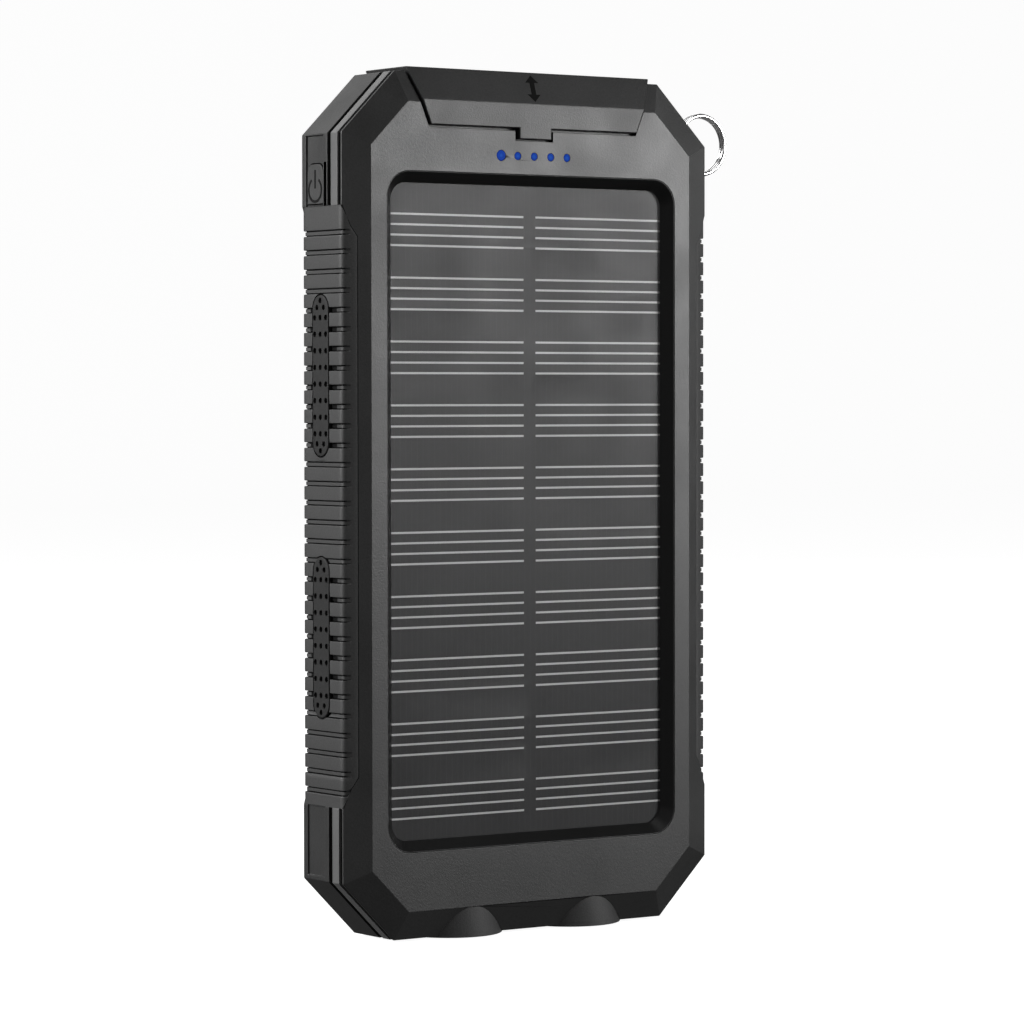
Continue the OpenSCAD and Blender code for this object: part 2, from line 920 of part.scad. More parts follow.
module torch_seals() {
    color("#2b2b2b") stand() for (side = [-1, 1])
        translate([side * torch_x, torch_depth, lens_front - 0.3]) difference() {
            cylinder(h = 0.3, r = lens_r);
            translate([0, 0, -1]) cylinder(h = 3, r = lens_r - 0.5);
        }
}

// Flared ring, cut flat at the back so that the charger lies flat
module torch_bezel(side) {
    lip_r = lens_r - 0.5;
    lip_top = lens_front - 0.3;
    bore_r = lens_r + 0.05;
    color("#4b4b4c") stand() intersection() {
        translate([side * torch_x, torch_depth, 0]) rotate_extrude() polygon([
            [lip_r + 0.8, torch_rim_z], [torch_rim_r, torch_rim_z],
            [torch_root_r, torch_root_z], [bore_r, torch_root_z], [bore_r, lip_top],
            [lip_r, lip_top], [lip_r, torch_rim_z + 0.8]
        ]);
        block(-far, far, -5, body_t, -far, far);
    }
}

module torch_bezel_left() { torch_bezel(-1); }
module torch_bezel_right() { torch_bezel(1); }

// ---------------------------------------------------------------- fasteners

module case_screws() {
    color("#3a3a3c") stand() for (at = case_screws_at)
        translate([at[0], body_t - 0.3, at[1]]) rotate([90, 0, 0]) {
            difference() {
                cylinder(h = 1.5, r = screw_head_r);
                translate([0, 0, -0.5]) cylinder(h = 1.2, r = 0.8, $fn = 6);
            }
            translate([0, 0, 1.4]) cylinder(h = body_t - 3.2, r = screw_r);
        }
}

module board_screws() {
    color("#8d9093") stand() for (at = board_screws_at)
        translate([at[0], board_front, at[1]]) rotate([90, 0, 0]) {
            cylinder(h = 1.1, r = 1.7);
            translate([0, 0, -board_back + board_front]) cylinder(h = 2, r = screw_r);
            translate([0, 0, -4]) cylinder(h = 4.5, r = 0.8);
        }
}

// ---------------------------------------------------------------- key ring

module lanyard_pin() {
    color("#a9abad") stand() post(3.2, 10.6, post_r);
}

module key_ring() {
    color("#e2e3e4") stand()
        translate([post_x, ring_depth, post_z]) rotate([0, -ring_angle, 0])
            translate([ring_offset, 0, 0]) rotate([90, 0, 0]) rotate_extrude()
                for (side = [-1, 1])
                    translate([ring_r, side * 0.36]) circle(ring_wire / 2, $fn = 24);
}

// ---------------------------------------------------------------- port cover

// Rubber strap that hinges the port cover on the back edge
module tether_profile(half_width) {
    across(-half_width, half_width) polygon([
        [14.6, hinge_z], [15.4, hinge_z], [15.3, half_h - 1.55], [15.75, half_h - 4.18],
        [14.2, half_h - 4.5], [14.2, half_h - 3.6], [14.85, half_h - 3.4],
        [14.55, half_h - 1.7]
    ]);
}

module cover_tether() {
    color("#3a3a3b") stand() {
        tether_profile(tether_half_w);
        translate([-tether_half_w, hinge_depth, hinge_z]) rotate([0, 90, 0])
            cylinder(h = 2 * tether_half_w, r = 0.4, $fn = 24);
    }
}

module port_cover() {
    rise = cover_top - cover_ridge;
    under = cover_under;
    corner_z = cover_ridge - 0.2;
    color("#454546") stand() {
        intersection() {
            across(-far, far) polygon([
                [-cover_proud, cover_bottom], [-cover_proud, cover_ridge],
                [-cover_proud + rise * bevel_slope, cover_top], [cover_back, cover_top],
                [cover_back, under], [cover_leg_back + (under - corner_z) * bevel_slope, under],
                [cover_leg_back, corner_z], [cover_leg_back, cover_bottom]
            ]);
            cover_width(0);
        }
        block(-tab_half_w, tab_half_w, -cover_proud, cover_leg_back, tab_bottom,
            cover_bottom + 1);
        for (side = [-1, 1])
            block(side * usb_a_x - 5.9, side * usb_a_x + 5.9, board_front - usb_a_t + 0.75,
                board_front - 0.8, under - 1.2, under + eps);
        block(-3.6, 3.6, board_front - 2.4, board_front - 0.8, under - 1, under + eps);
    }
}

front_bezel();
mid_frame();
back_shell();
port_plate();
grip_left();
grip_right();
grip_pad_left_upper();
grip_pad_left_lower();
grip_pad_right_upper();
grip_pad_right_lower();
panel_surround();
panel_window();
solar_cells();
cell_busbars();
panel_substrate();
panel_tape();
housing_seal();
light_guide();
indicator_leds();
circuit_board();
usb_a_shell_left();
usb_a_shell_right();
usb_a_tongue_left();
usb_a_tongue_right();
usb_c_shell();
usb_c_tongue();
power_inductor();
controller_chip();
capacitors();
tact_switch();
switch_plunger();
power_button();
battery_cell_front();
battery_cell_back();
battery_tape();
battery_leads();
solar_leads();
torch_leads();
torch_board();
torch_emitters();
torch_reflector_left();
torch_reflector_right();
torch_lens_left();
torch_lens_right();
torch_seals();
torch_bezel_left();
torch_bezel_right();
case_screws();
board_screws();
lanyard_pin();
cover_tether();
port_cover();
key_ring();
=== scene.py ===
# A solar phone charger: textured plastic shells around a solar panel, ribbed rubber
# grips, a hinged rubber port cover, two torches in the lower end and a split key ring.
import math

import bmesh
import bpy
from mathutils import Matrix, Vector


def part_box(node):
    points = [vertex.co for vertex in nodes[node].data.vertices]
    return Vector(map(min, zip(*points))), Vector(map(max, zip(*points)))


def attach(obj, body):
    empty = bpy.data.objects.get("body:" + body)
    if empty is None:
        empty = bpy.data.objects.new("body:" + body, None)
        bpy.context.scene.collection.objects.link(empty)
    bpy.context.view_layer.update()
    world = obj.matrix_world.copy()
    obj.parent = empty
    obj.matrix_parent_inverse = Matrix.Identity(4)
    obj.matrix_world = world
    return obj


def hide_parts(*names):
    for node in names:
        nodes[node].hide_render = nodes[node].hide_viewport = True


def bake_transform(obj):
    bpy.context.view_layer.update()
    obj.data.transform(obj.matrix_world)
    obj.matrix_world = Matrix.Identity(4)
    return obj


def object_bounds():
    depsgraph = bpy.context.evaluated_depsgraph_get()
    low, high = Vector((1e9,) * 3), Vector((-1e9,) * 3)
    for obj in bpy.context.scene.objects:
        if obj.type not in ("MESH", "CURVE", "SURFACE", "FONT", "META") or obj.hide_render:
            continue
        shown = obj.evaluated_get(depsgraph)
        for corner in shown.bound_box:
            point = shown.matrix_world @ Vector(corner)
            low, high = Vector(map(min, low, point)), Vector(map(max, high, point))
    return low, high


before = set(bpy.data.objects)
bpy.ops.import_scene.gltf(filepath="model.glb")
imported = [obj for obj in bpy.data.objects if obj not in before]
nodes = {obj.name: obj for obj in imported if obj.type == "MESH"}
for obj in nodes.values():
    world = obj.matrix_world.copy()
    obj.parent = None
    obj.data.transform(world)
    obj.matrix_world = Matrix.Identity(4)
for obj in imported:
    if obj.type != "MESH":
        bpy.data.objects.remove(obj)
cad_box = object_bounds()
MM = 0.001


# ---------------------------------------------------------------- camera and studio
# The charger stands on its torch rims on a pale floor that sweeps up behind it. A small
# softbox to the front right gives the face its sheen and a strong one lights the left
# side. Two cards that only show as reflections draw the edges of both sides.

CAMERA_AZIMUTH = 35.182
CAMERA_TILT = 1.622
CAMERA_ROLL = -0.073
CAMERA_PLACE = (-0.4199, -0.60469, 0.0191)
CAMERA_LENS = 144.2
FLOOR_GAP = 0.0002
SWEEP = {"half_width": 8, "front": -3, "back": 2.5, "radius": 1.2, "height": 4}
SWEEP_STEPS = 16

camera = bpy.data.objects.new("camera", bpy.data.cameras.new("camera"))
bpy.context.scene.collection.objects.link(camera)
camera.data.sensor_width = 36
camera.data.lens = CAMERA_LENS
camera.data.clip_start = 0.05
camera.data.clip_end = 50
camera.matrix_world = (Matrix.Translation(CAMERA_PLACE)
                       @ Matrix.Rotation(math.radians(-CAMERA_AZIMUTH), 4, "Z")
                       @ Matrix.Rotation(math.radians(90 - CAMERA_TILT), 4, "X")
                       @ Matrix.Rotation(math.radians(CAMERA_ROLL), 4, "Z"))
bpy.context.scene.camera = camera
bpy.context.scene.view_settings.view_transform = "Standard"


def put(name, mesh):
    """A new object with this mesh, in the scene."""
    obj = bpy.data.objects.new(name, mesh)
    bpy.context.scene.collection.objects.link(obj)
    return obj


def seamless_floor():
    """A floor that curves up into a backdrop."""
    floor_z = cad_box[0][2] - FLOOR_GAP
    radius = SWEEP["radius"]
    line = [(SWEEP["front"], floor_z)]
    for i in range(SWEEP_STEPS + 1):
        a = math.radians(90 * i / SWEEP_STEPS)
        line.append((SWEEP["back"] + radius * math.sin(a),
                     floor_z + radius * (1 - math.cos(a))))
    line.append((SWEEP["back"] + radius, SWEEP["height"]))
    n = len(line)
    width = SWEEP["half_width"]
    mesh = bpy.data.meshes.new("floor")
    mesh.from_pydata([(x, y, z) for x in (-width, width) for y, z in line], [],
                     [(i, i + n, i + n + 1, i + 1) for i in range(n - 1)])
    for poly in mesh.polygons:
        poly.use_smooth = True
    floor = put("floor", mesh)
    paint = bpy.data.materials.new("pale floor")
    paint.use_nodes = True
    shader = paint.node_tree.nodes["Principled BSDF"]
    shader.inputs["Base Color"].default_value = (0.3, 0.3, 0.3, 1)
    shader.inputs["Roughness"].default_value = 0.95
    shader.inputs["Specular IOR Level"].default_value = 0
    shader.inputs["Emission Color"].default_value = (1, 1, 1, 1)
    shader.inputs["Emission Strength"].default_value = 0.93
    mesh.materials.append(paint)
    floor.visible_diffuse = False
    floor.visible_glossy = False


def softbox(name, azimuth, height, distance, size, watts, only_gloss=False):
    """A soft light, in metres and degrees, that looks at the charger from an azimuth.

    Azimuth 0 is in front of the panel, and positive ones are to its right.
    """
    a = math.radians(azimuth)
    lamp = bpy.data.lights.new(name, "AREA")
    lamp.shape = "RECTANGLE"
    lamp.size, lamp.size_y = size
    lamp.energy = watts
    light = bpy.data.objects.new(name, lamp)
    bpy.context.scene.collection.objects.link(light)
    place = Vector((distance * math.sin(a), -distance * math.cos(a), height))
    light.location = place
    light.rotation_euler = (-place).to_track_quat("-Z", "Y").to_euler()
    light.visible_diffuse = not only_gloss


seamless_floor()
softbox("key", 44, 0.15, 1.0, (0.5, 0.2), 6.8)
softbox("fill", -25, 0.18, 1.0, (0.3, 0.3), 0.7)
softbox("left", -115, 0.45, 1.0, (0.5, 0.9), 21.0)
softbox("top", -10, 1.2, 0.4, (0.8, 0.5), 2.5)
softbox("rear", 160, 0.6, 1.2, (0.9, 0.9), 4.0)
softbox("left card", -85, 0.1, 1.0, (0.5, 1.2), 1.6, only_gloss=True)
softbox("right card", 120, 0.1, 1.0, (0.6, 1.2), 3.0, only_gloss=True)
world = bpy.data.worlds.new("studio")
bpy.context.scene.world = world
world.use_nodes = True
world.node_tree.nodes["Background"].inputs["Color"].default_value = (1, 1, 1, 1)
world.node_tree.nodes["Background"].inputs["Strength"].default_value = 0.12


# ---------------------------------------------------------------- front bezel
# One moulding of glass-filled plastic: the face plate, its sloped border and the front
# lip of the side band. The mould is spark eroded, which gives the fine matte grain.

BODY_T = 16.0
SHELL_GREY = 0.013
# Most values of a noise lie in this span; the gloss varies in broad patches
NOISE_SPAN = (0.3, 0.7)
PATCHES_PER_METRE = 90


def remapped(tree, value, span, onto):
    """A Map Range node that carries one span of values over to another."""
    node = tree.nodes.new("ShaderNodeMapRange")
    node.inputs["From Min"].default_value = span[0]
    node.inputs["From Max"].default_value = span[1]
    node.inputs["To Min"].default_value = onto[0]
    node.inputs["To Max"].default_value = onto[1]
    tree.links.new(value, node.inputs["Value"])
    return node


def surface(name, colour, rough=0.5, metallic=0.0, grain=0.3, speck=0.2, bump=0.02,
            patch=0.04, **sockets):
    """A material whose colour, gloss and height vary, with its grain in millimetres.

    speck and patch say how much the colour and the roughness vary, and bump is the
    height of the grain in millimetres.
    """
    paint = bpy.data.materials.new(name)
    paint.use_nodes = True
    tree = paint.node_tree
    shader = tree.nodes["Principled BSDF"]
    place = tree.nodes.new("ShaderNodeTexCoord").outputs["Object"]
    fine = tree.nodes.new("ShaderNodeTexNoise")
    fine.inputs["Scale"].default_value = 1 / (grain * MM)
    fine.inputs["Detail"].default_value = 3
    fine.inputs["Roughness"].default_value = 0.6
    broad = tree.nodes.new("ShaderNodeTexNoise")
    broad.inputs["Scale"].default_value = PATCHES_PER_METRE
    broad.inputs["Detail"].default_value = 3
    tree.links.new(place, fine.inputs["Vector"])
    tree.links.new(place, broad.inputs["Vector"])
    tone = remapped(tree, fine.outputs["Fac"], NOISE_SPAN, (1 - speck, 1 + speck))
    tint = tree.nodes.new("ShaderNodeMix")
    tint.data_type = "RGBA"
    tint.blend_type = "MULTIPLY"
    tint.inputs["Factor"].default_value = 1
    rgb = colour if isinstance(colour, tuple) else (colour, colour, colour)
    tint.inputs[6].default_value = (*rgb, 1)
    tree.links.new(tone.outputs["Result"], tint.inputs[7])
    tree.links.new(tint.outputs[2], shader.inputs["Base Color"])
    polish = remapped(tree, broad.outputs["Fac"], NOISE_SPAN, (rough - patch, rough + patch))
    tree.links.new(polish.outputs["Result"], shader.inputs["Roughness"])
    shader.inputs["Metallic"].default_value = metallic
    if bump > 0:
        relief = tree.nodes.new("ShaderNodeBump")
        relief.inputs["Distance"].default_value = bump * MM
        relief.inputs["Strength"].default_value = 1
        tree.links.new(fine.outputs["Fac"], relief.inputs["Height"])
        tree.links.new(relief.outputs["Normal"], shader.inputs["Normal"])
    for socket, value in sockets.items():
        shader.inputs[socket.replace("_", " ")].default_value = value
    return paint


def baked(obj):
    """Replaces an object's mesh by what its modifiers make of it."""
    bpy.context.view_layer.update()
    graph = bpy.context.evaluated_depsgraph_get()
    result = bpy.data.meshes.new_from_object(obj.evaluated_get(graph))
    obj.modifiers.clear()
    obj.data = result
    return obj


# An edge that crosses another's end at less than this cosine limits its rounding, to a
# share of its own length
CROSS_COSINE = 0.87
ROOM_SHARE = 0.42
CRISP_ANGLE = 35


def weigh_edges(obj, edge, sharp):
    """Marks the edges to round. One with a short edge across its end is rounded less."""
    bm = bmesh.new()
    bm.from_mesh(obj.data)
    weight = bm.edges.layers.float.new("bevel_weight_edge")
    for line in bm.edges:
        if line.calc_face_angle(0) < math.radians(sharp):
            continue
        along = (line.verts[1].co - line.verts[0].co).normalized()
        room = 1.0
        for vert in line.verts:
            for other in vert.link_edges:
                way = (other.other_vert(vert).co - vert.co).normalized()
                if abs(way.dot(along)) < CROSS_COSINE:
                    room = min(room, other.calc_length())
        line[weight] = min(1.0, ROOM_SHARE * room / (edge * MM))
    bm.to_mesh(obj.data)
    bm.free()


def rounded(obj, edge, segments=2, sharp=13):
    """Rounds the edges that are sharper than an angle, and keeps flat faces flat.

    With no rounding, edge 0, the shading is only parted at the crisp edges.
    """
    if edge > 0:
        weigh_edges(obj, edge, sharp)
        rounding = obj.modifiers.new("rounding", "BEVEL")
        rounding.width = edge * MM
        rounding.segments = segments
        rounding.limit_method = "WEIGHT"
        rounding.use_clamp_overlap = False
        rounding.miter_outer = "MITER_SHARP"
    else:
        obj.data.set_sharp_from_angle(angle=math.radians(CRISP_ANGLE))
    for poly in obj.data.polygons:
        poly.use_smooth = True
    flat = obj.modifiers.new("flat faces", "WEIGHTED_NORMAL")
    flat.mode = "FACE_AREA"
    flat.weight = 100
    flat.keep_sharp = edge == 0
    return baked(obj)


MERGE_GAP = 0.002
FLAT_ANGLE = 0.6


def cad_copy(node, name):
    """A merged copy of a CAD node, with its flat faces joined up."""
    bm = bmesh.new()
    bm.from_mesh(nodes[node].data)
    bmesh.ops.remove_doubles(bm, verts=bm.verts, dist=MERGE_GAP * MM)
    bmesh.ops.dissolve_limit(bm, angle_limit=math.radians(FLAT_ANGLE), verts=bm.verts,
                             edges=bm.edges)
    mesh = bpy.data.meshes.new(name)
    bm.to_mesh(mesh)
    bm.free()
    return put(name, mesh)


def settled(obj, body, paints, stands_for=()):
    """Gives a finished piece its materials, its body and the CAD nodes it stands for."""
    obj.data.materials.clear()
    for paint in paints:
        obj.data.materials.append(paint)
    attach(obj, body)
    if stands_for:
        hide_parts(*stands_for)
    return obj


def from_cad(node, name, body, paint, edge, segments=2):
    """A CAD node with softened edges and a material."""
    piece = rounded(cad_copy(node, name), edge, segments)
    return settled(piece, body, [paint], [node])


def depth(y):
    """Depth behind the face, in millimetres, of a place in the frame."""
    return y / MM + BODY_T


shell_paint = surface("shell plastic", SHELL_GREY, rough=0.4, grain=0.3, speck=0.3,
                      bump=0.022)
# Near-black paint used as painted shade, on faces deep in the grooves and gaps where the real
# ones lie in shadow
painted_gap_shade = surface("dark groove", 0.0015, rough=0.8, speck=0.1, bump=0,
                    Specular_IOR_Level=0.1)

# Depths behind the face of the two grooves and of the slot beside the power button, whose faces
# get painted shade
GROOVE_TOP = (2.1, 3.0)
GROOVE_BACK = (5.15, 6.2)
GROOVE_SLACK = 0.02
GROOVE_REACH = 0.85
BUTTON_SLOT = (6.6, 7.35)
BUTTON_SLOT_Z = (51, 59.4)
# Where the bezel's gaps to the port cover and to the grips begin, and how far to the front a
# face of theirs is turned at most. The bezel's faces in these gaps get painted shade
COVER_GAP_Z = 63.5
COVER_GAP_X = 25.5
COVER_GAP_FACING = -0.6
GRIP_GAP_Z = 51.6
GRIP_GAP_X = 35.5
GRIP_GAP_FACING = -0.88
# The body's outline: an octagon with its corners cut
BODY_HALF_H = 75.15
CORNER_CUT_TOP = 10.95
CORNER_CUT_LOW = 10.4
half_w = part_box("grip_right")[1].x / MM


def in_span(value, span):
    """Whether a depth lies in a groove, or just past its edge."""
    return span[0] - GROOVE_SLACK < value < span[1] + GROOVE_SLACK


def paint_groove_shade(obj):
    """Sets the second material, painted shade, on the grooves that run round the side and on
    the slot by the button.
    """
    for poly in obj.data.polygons:
        x, y, z = poly.center
        d = depth(y)
        in_groove = in_span(d, GROOVE_TOP) or in_span(d, GROOVE_BACK)
        if x < 0 and BUTTON_SLOT_Z[0] < z / MM < BUTTON_SLOT_Z[1]:
            in_groove = in_groove or in_span(d, BUTTON_SLOT)
        # distance inside the octagon
        cut = CORNER_CUT_TOP if z > 0 else CORNER_CUT_LOW
        inside = min(half_w - abs(x) / MM, BODY_HALF_H - abs(z) / MM,
                     (half_w + BODY_HALF_H - cut - (abs(x) + abs(z)) / MM) / math.sqrt(2))
        if in_groove and GROOVE_SLACK < inside < GROOVE_REACH:
            poly.material_index = 1


bezel = rounded(cad_copy("front_bezel", "front_bezel_shell"), 0.1)
settled(bezel, "housing", [shell_paint, painted_gap_shade], ["front_bezel"])
paint_groove_shade(bezel)
# Painted shade on the bezel's faces in its gaps to the port cover and to the grips
for poly in bezel.data.polygons:
    x, z = abs(poly.center.x) / MM, poly.center.z / MM
    turn = poly.normal.y
    by_cover = z > COVER_GAP_Z and x < COVER_GAP_X and turn > COVER_GAP_FACING
    by_grip = abs(z) < GRIP_GAP_Z and x > GRIP_GAP_X and turn > GRIP_GAP_FACING
    if by_cover or by_grip:
        poly.material_index = 1


# ---------------------------------------------------------------- middle frame
# The satin band between the two dark grooves, moulded in a lighter plastic. It carries
# the deck that parts the solar panel from the battery.

strip_paint = surface("satin strip", 0.08, rough=0.42, grain=0.35, speck=0.12, bump=0.02)
band = rounded(cad_copy("mid_frame", "mid_frame_band"), 0.1)
settled(band, "housing", [strip_paint, painted_gap_shade], ["mid_frame"])
paint_groove_shade(band)


# ---------------------------------------------------------------- back shell
# The deep rear moulding. Six screws from behind hold it to the bezel, and shallow
# recesses mark its sides above and below the grips.

back_paint = surface("back plastic", 0.012, rough=0.45, grain=0.34, speck=0.3, bump=0.03,
                     Specular_IOR_Level=0.4)
back = rounded(cad_copy("back_shell", "back_shell_moulding"), 0.12)
settled(back, "housing", [back_paint, painted_gap_shade], ["back_shell"])
paint_groove_shade(back)


# ---------------------------------------------------------------- panel surround
# A glossy black frame glued under the face plate. Its sloped wall leads down to the
# solar panel and hides the laminate's cut edge.

surround_paint = surface("surround black", 0.003, rough=0.42, grain=0.3, speck=0.2,
                         bump=0.012, Specular_IOR_Level=0.28)
from_cad("panel_surround", "panel_surround_frame", "housing",
         surround_paint, edge=0.06)


# ---------------------------------------------------------------- solar panel
# Dark silicon cells with silver lines printed across them, laminated between a clear
# satin film and a glass-fibre board, and held to the deck by foam tape.

LINE_GROUPS = 10
LINES_PER_GROUP = 4
GROUP_PITCH = 11.04
LINE_PITCH = 1.82
LINE_T = 0.35
LINE_SPANS = ((-30.05, -0.8), (1.8, 30.05))
FIRST_LINE_Z = 50.6
FINGER_PITCH = 1.2
FINGER_EDGE = 0.93
FINGER_STRENGTH = 0.02
FINGER_GREY = 0.3
WAVE_BANDS = 20


def grown(name, tree, values):
    """Runs a geometry tree with these inputs and keeps the mesh that it makes."""
    obj = put(name, bpy.data.meshes.new(name))
    run = obj.modifiers.new("growth", "NODES")
    run.node_group = tree
    for item in tree.interface.items_tree:
        if item.in_out == "INPUT" and item.name in values:
            run[item.identifier] = values[item.name]
    return baked(obj)


def new_tree(name, inputs):
    """An empty geometry tree with named inputs: {name: (socket type, value)}."""
    tree = bpy.data.node_groups.new(name, "GeometryNodeTree")
    for label, (kind, value) in inputs.items():
        socket = tree.interface.new_socket(label, in_out="INPUT", socket_type=kind)
        socket.default_value = value
    tree.interface.new_socket("Geometry", in_out="OUTPUT",
                              socket_type="NodeSocketGeometry")
    return tree, tree.nodes.new("NodeGroupInput"), tree.nodes.new("NodeGroupOutput")


def row_of(tree, feed, item, count, step):
    """Repeats an item along a line of points; count and step are names of inputs."""
    line = tree.nodes.new("GeometryNodeMeshLine")
    tree.links.new(feed.outputs[count], line.inputs["Count"])
    tree.links.new(feed.outputs[step], line.inputs["Offset"])
    copies = tree.nodes.new("GeometryNodeInstanceOnPoints")
    tree.links.new(line.outputs["Mesh"], copies.inputs["Points"])
    tree.links.new(item, copies.inputs["Instance"])
    return copies.outputs["Instances"]


def bar_array_tree(paint):
    """Bars in rows, and rows in groups."""
    tree, feed, out = new_tree("bar array", {
        "Size": ("NodeSocketVector", (1, 1, 1)), "Start": ("NodeSocketVector", (0, 0, 0)),
        "Rows": ("NodeSocketInt", 1), "Row Step": ("NodeSocketVector", (0, 0, 0)),
        "Groups": ("NodeSocketInt", 1), "Group Step": ("NodeSocketVector", (0, 0, 0))})
    bar = tree.nodes.new("GeometryNodeMeshCube")
    tree.links.new(feed.outputs["Size"], bar.inputs["Size"])
    item = bar.outputs["Mesh"]
    for count, step in (("Rows", "Row Step"), ("Groups", "Group Step")):
        item = row_of(tree, feed, item, count, step)
    move = tree.nodes.new("GeometryNodeTransform")
    tree.links.new(item, move.inputs["Geometry"])
    tree.links.new(feed.outputs["Start"], move.inputs["Translation"])
    real = tree.nodes.new("GeometryNodeRealizeInstances")
    tree.links.new(move.outputs["Geometry"], real.inputs["Geometry"])
    coat = tree.nodes.new("GeometryNodeSetMaterial")
    coat.inputs["Material"].default_value = paint
    tree.links.new(real.outputs["Geometry"], coat.inputs["Geometry"])
    tree.links.new(coat.outputs["Geometry"], out.inputs["Geometry"])
    return tree


def mm(*values):
    """Millimetres as a tuple of metres."""
    return tuple(v * MM for v in values)


silver_paint = surface("printed silver", (0.4, 0.4, 0.4), rough=0.45, metallic=0.15,
                       grain=0.12, speck=0.12, bump=0.01)
line_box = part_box("cell_busbars")
bar_t = (line_box[1].y - line_box[0].y) / MM
line_tree = bar_array_tree(silver_paint)
for word, (low, high) in zip(("left", "right"), LINE_SPANS):
    bars = grown(f"silver_lines_{word}", line_tree, {
        "Size": mm(high - low, bar_t, LINE_T),
        "Start": mm((low + high) / 2, line_box[0].y / MM + bar_t / 2, FIRST_LINE_Z),
        "Rows": LINES_PER_GROUP, "Row Step": mm(0, 0, -LINE_PITCH),
        "Groups": LINE_GROUPS, "Group Step": mm(0, 0, -GROUP_PITCH)})
    settled(bars, "housing", [silver_paint], ["cell_busbars"])


def cell_material():
    """Silicon: fine upright fingers and faint blotches under the film."""
    paint = surface("solar cells", (0.014, 0.014, 0.015), rough=0.4, grain=1.6, speck=0.08,
                    bump=0, Specular_IOR_Level=0.24)
    tree = paint.node_tree
    shader = tree.nodes["Principled BSDF"]
    place = tree.nodes.new("ShaderNodeTexCoord").outputs["Object"]
    fingers = tree.nodes.new("ShaderNodeTexWave")
    fingers.wave_type = "BANDS"
    fingers.bands_direction = "X"
    fingers.inputs["Scale"].default_value = math.tau / WAVE_BANDS / (FINGER_PITCH * MM)
    fingers.inputs["Distortion"].default_value = 0
    tree.links.new(place, fingers.inputs["Vector"])
    thin = remapped(tree, fingers.outputs["Fac"], (FINGER_EDGE, 1), (0, FINGER_STRENGTH))
    mix = tree.nodes.new("ShaderNodeMix")
    mix.data_type = "RGBA"
    tree.links.new(thin.outputs["Result"], mix.inputs["Factor"])
    tree.links.new(shader.inputs["Base Color"].links[0].from_socket, mix.inputs[6])
    mix.inputs[7].default_value = (FINGER_GREY, FINGER_GREY, FINGER_GREY, 1)
    tree.links.new(mix.outputs[2], shader.inputs["Base Color"])
    return paint


film_paint = surface("clear film", 0.05, rough=0.34, grain=0.5, speck=0.05, bump=0.004,
                     Alpha=0.06)
board_green = surface("board green", (0.012, 0.09, 0.05), rough=0.4, grain=0.8, speck=0.25,
                      bump=0.01)
tape_paint = surface("foam tape", 0.02, rough=0.9, grain=0.25, speck=0.4, bump=0.05)
from_cad("solar_cells", "silicon_cells", "housing", cell_material(), edge=0)
from_cad("panel_window", "clear_film", "housing", film_paint, edge=0.03)
from_cad("panel_substrate", "panel_board", "housing", board_green, 0.05)
from_cad("panel_tape", "panel_foam_tape", "housing", tape_paint, 0.05)


# ---------------------------------------------------------------- housing seal
# A silicone cord that lies in a groove of the middle frame and keeps water out.

seal_paint = surface("silicone seal", (0.4, 0.09, 0.03), rough=0.6, grain=0.4, speck=0.15,
                     bump=0.01)
from_cad("housing_seal", "housing_seal_ring", "housing", seal_paint, 0.05)


# ---------------------------------------------------------------- side grips
# Soft rubber moulded over the sides. Each grip is a thin skin with thirty cross grooves,
# and its ends draw in where it laps over the sloped borders.

GRIP_T = 0.88
GRIP_GROOVES = 30
GROOVE_PITCH = 3.32
GROOVE_SHIFT = -1.0
# Distances from a groove's middle where the mesh has rows, and (distance, depth) of the
# steps of its section: a raised floor between two slits
GROOVE_ROWS = (0.28, 0.34, 0.44, 0.5, 0.62)
GROOVE_STEPS = ((0.6, 0), (0.46, 0.05), (0.31, 0.52), (0, 0.32))
# The two slits, by distance from a groove's middle, whose faces get painted shade
GROOVE_SLIT = (0.3, 0.5)
# Where the grooves start to run out past the corner, and over what length
GROOVE_FADE = (0.35, 0.6)
# The bezel's sloped border, the skirt of the grip that laps over it, and its rounded lip
BEVEL_FALL = 1.65
BEVEL_RUN = 4.93
BEVEL_SLOPE = BEVEL_FALL / BEVEL_RUN
CORNER_R = 1.2
GRIP_LAP = 2.61
SKIRT_STEP = 1.36
SKIRT_DROPS = (3.5, 5.5)
SKIRT_COLUMNS = 8
SKIRT_CROWDING = 1.3
CORNER_COLUMNS = 4
SIDE_COLUMNS = 22
SIDE_SLACK = 0.01
END_ROWS = (0, 0.05, 0.15, 0.35, 2, 2.6)
SKIRT_ROWS = (45.9, 46.35, 47.1, 49.3, 50, 50.7)
LIP_RUN = 0.15
END_LIP = 0.16
SKIRT_LIP = 0.05
RIM_SINK = 0.06
# The pads, their holes and the wide notches of the grooves beside them
PAD_LEN = 28.0
PAD_W = 5.1
PAD_Z = 22.6
PAD_DEPTH = 8.45
PAD_GAP = 0.34
# How far out from a pad the notches of the grooves get painted shade
PAD_NOTCH = 1.7
NOTCH_END = 1
NOTCH_DEEPER = 0.3
NOTCH_FADE = 4
CUTTER_X = (36, 41)

grip_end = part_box("grip_left")[1].z / MM


def smooth(t):
    """An even S curve from 0 to 1."""
    t = min(1, max(0, t))
    return t * t * (3 - 2 * t)


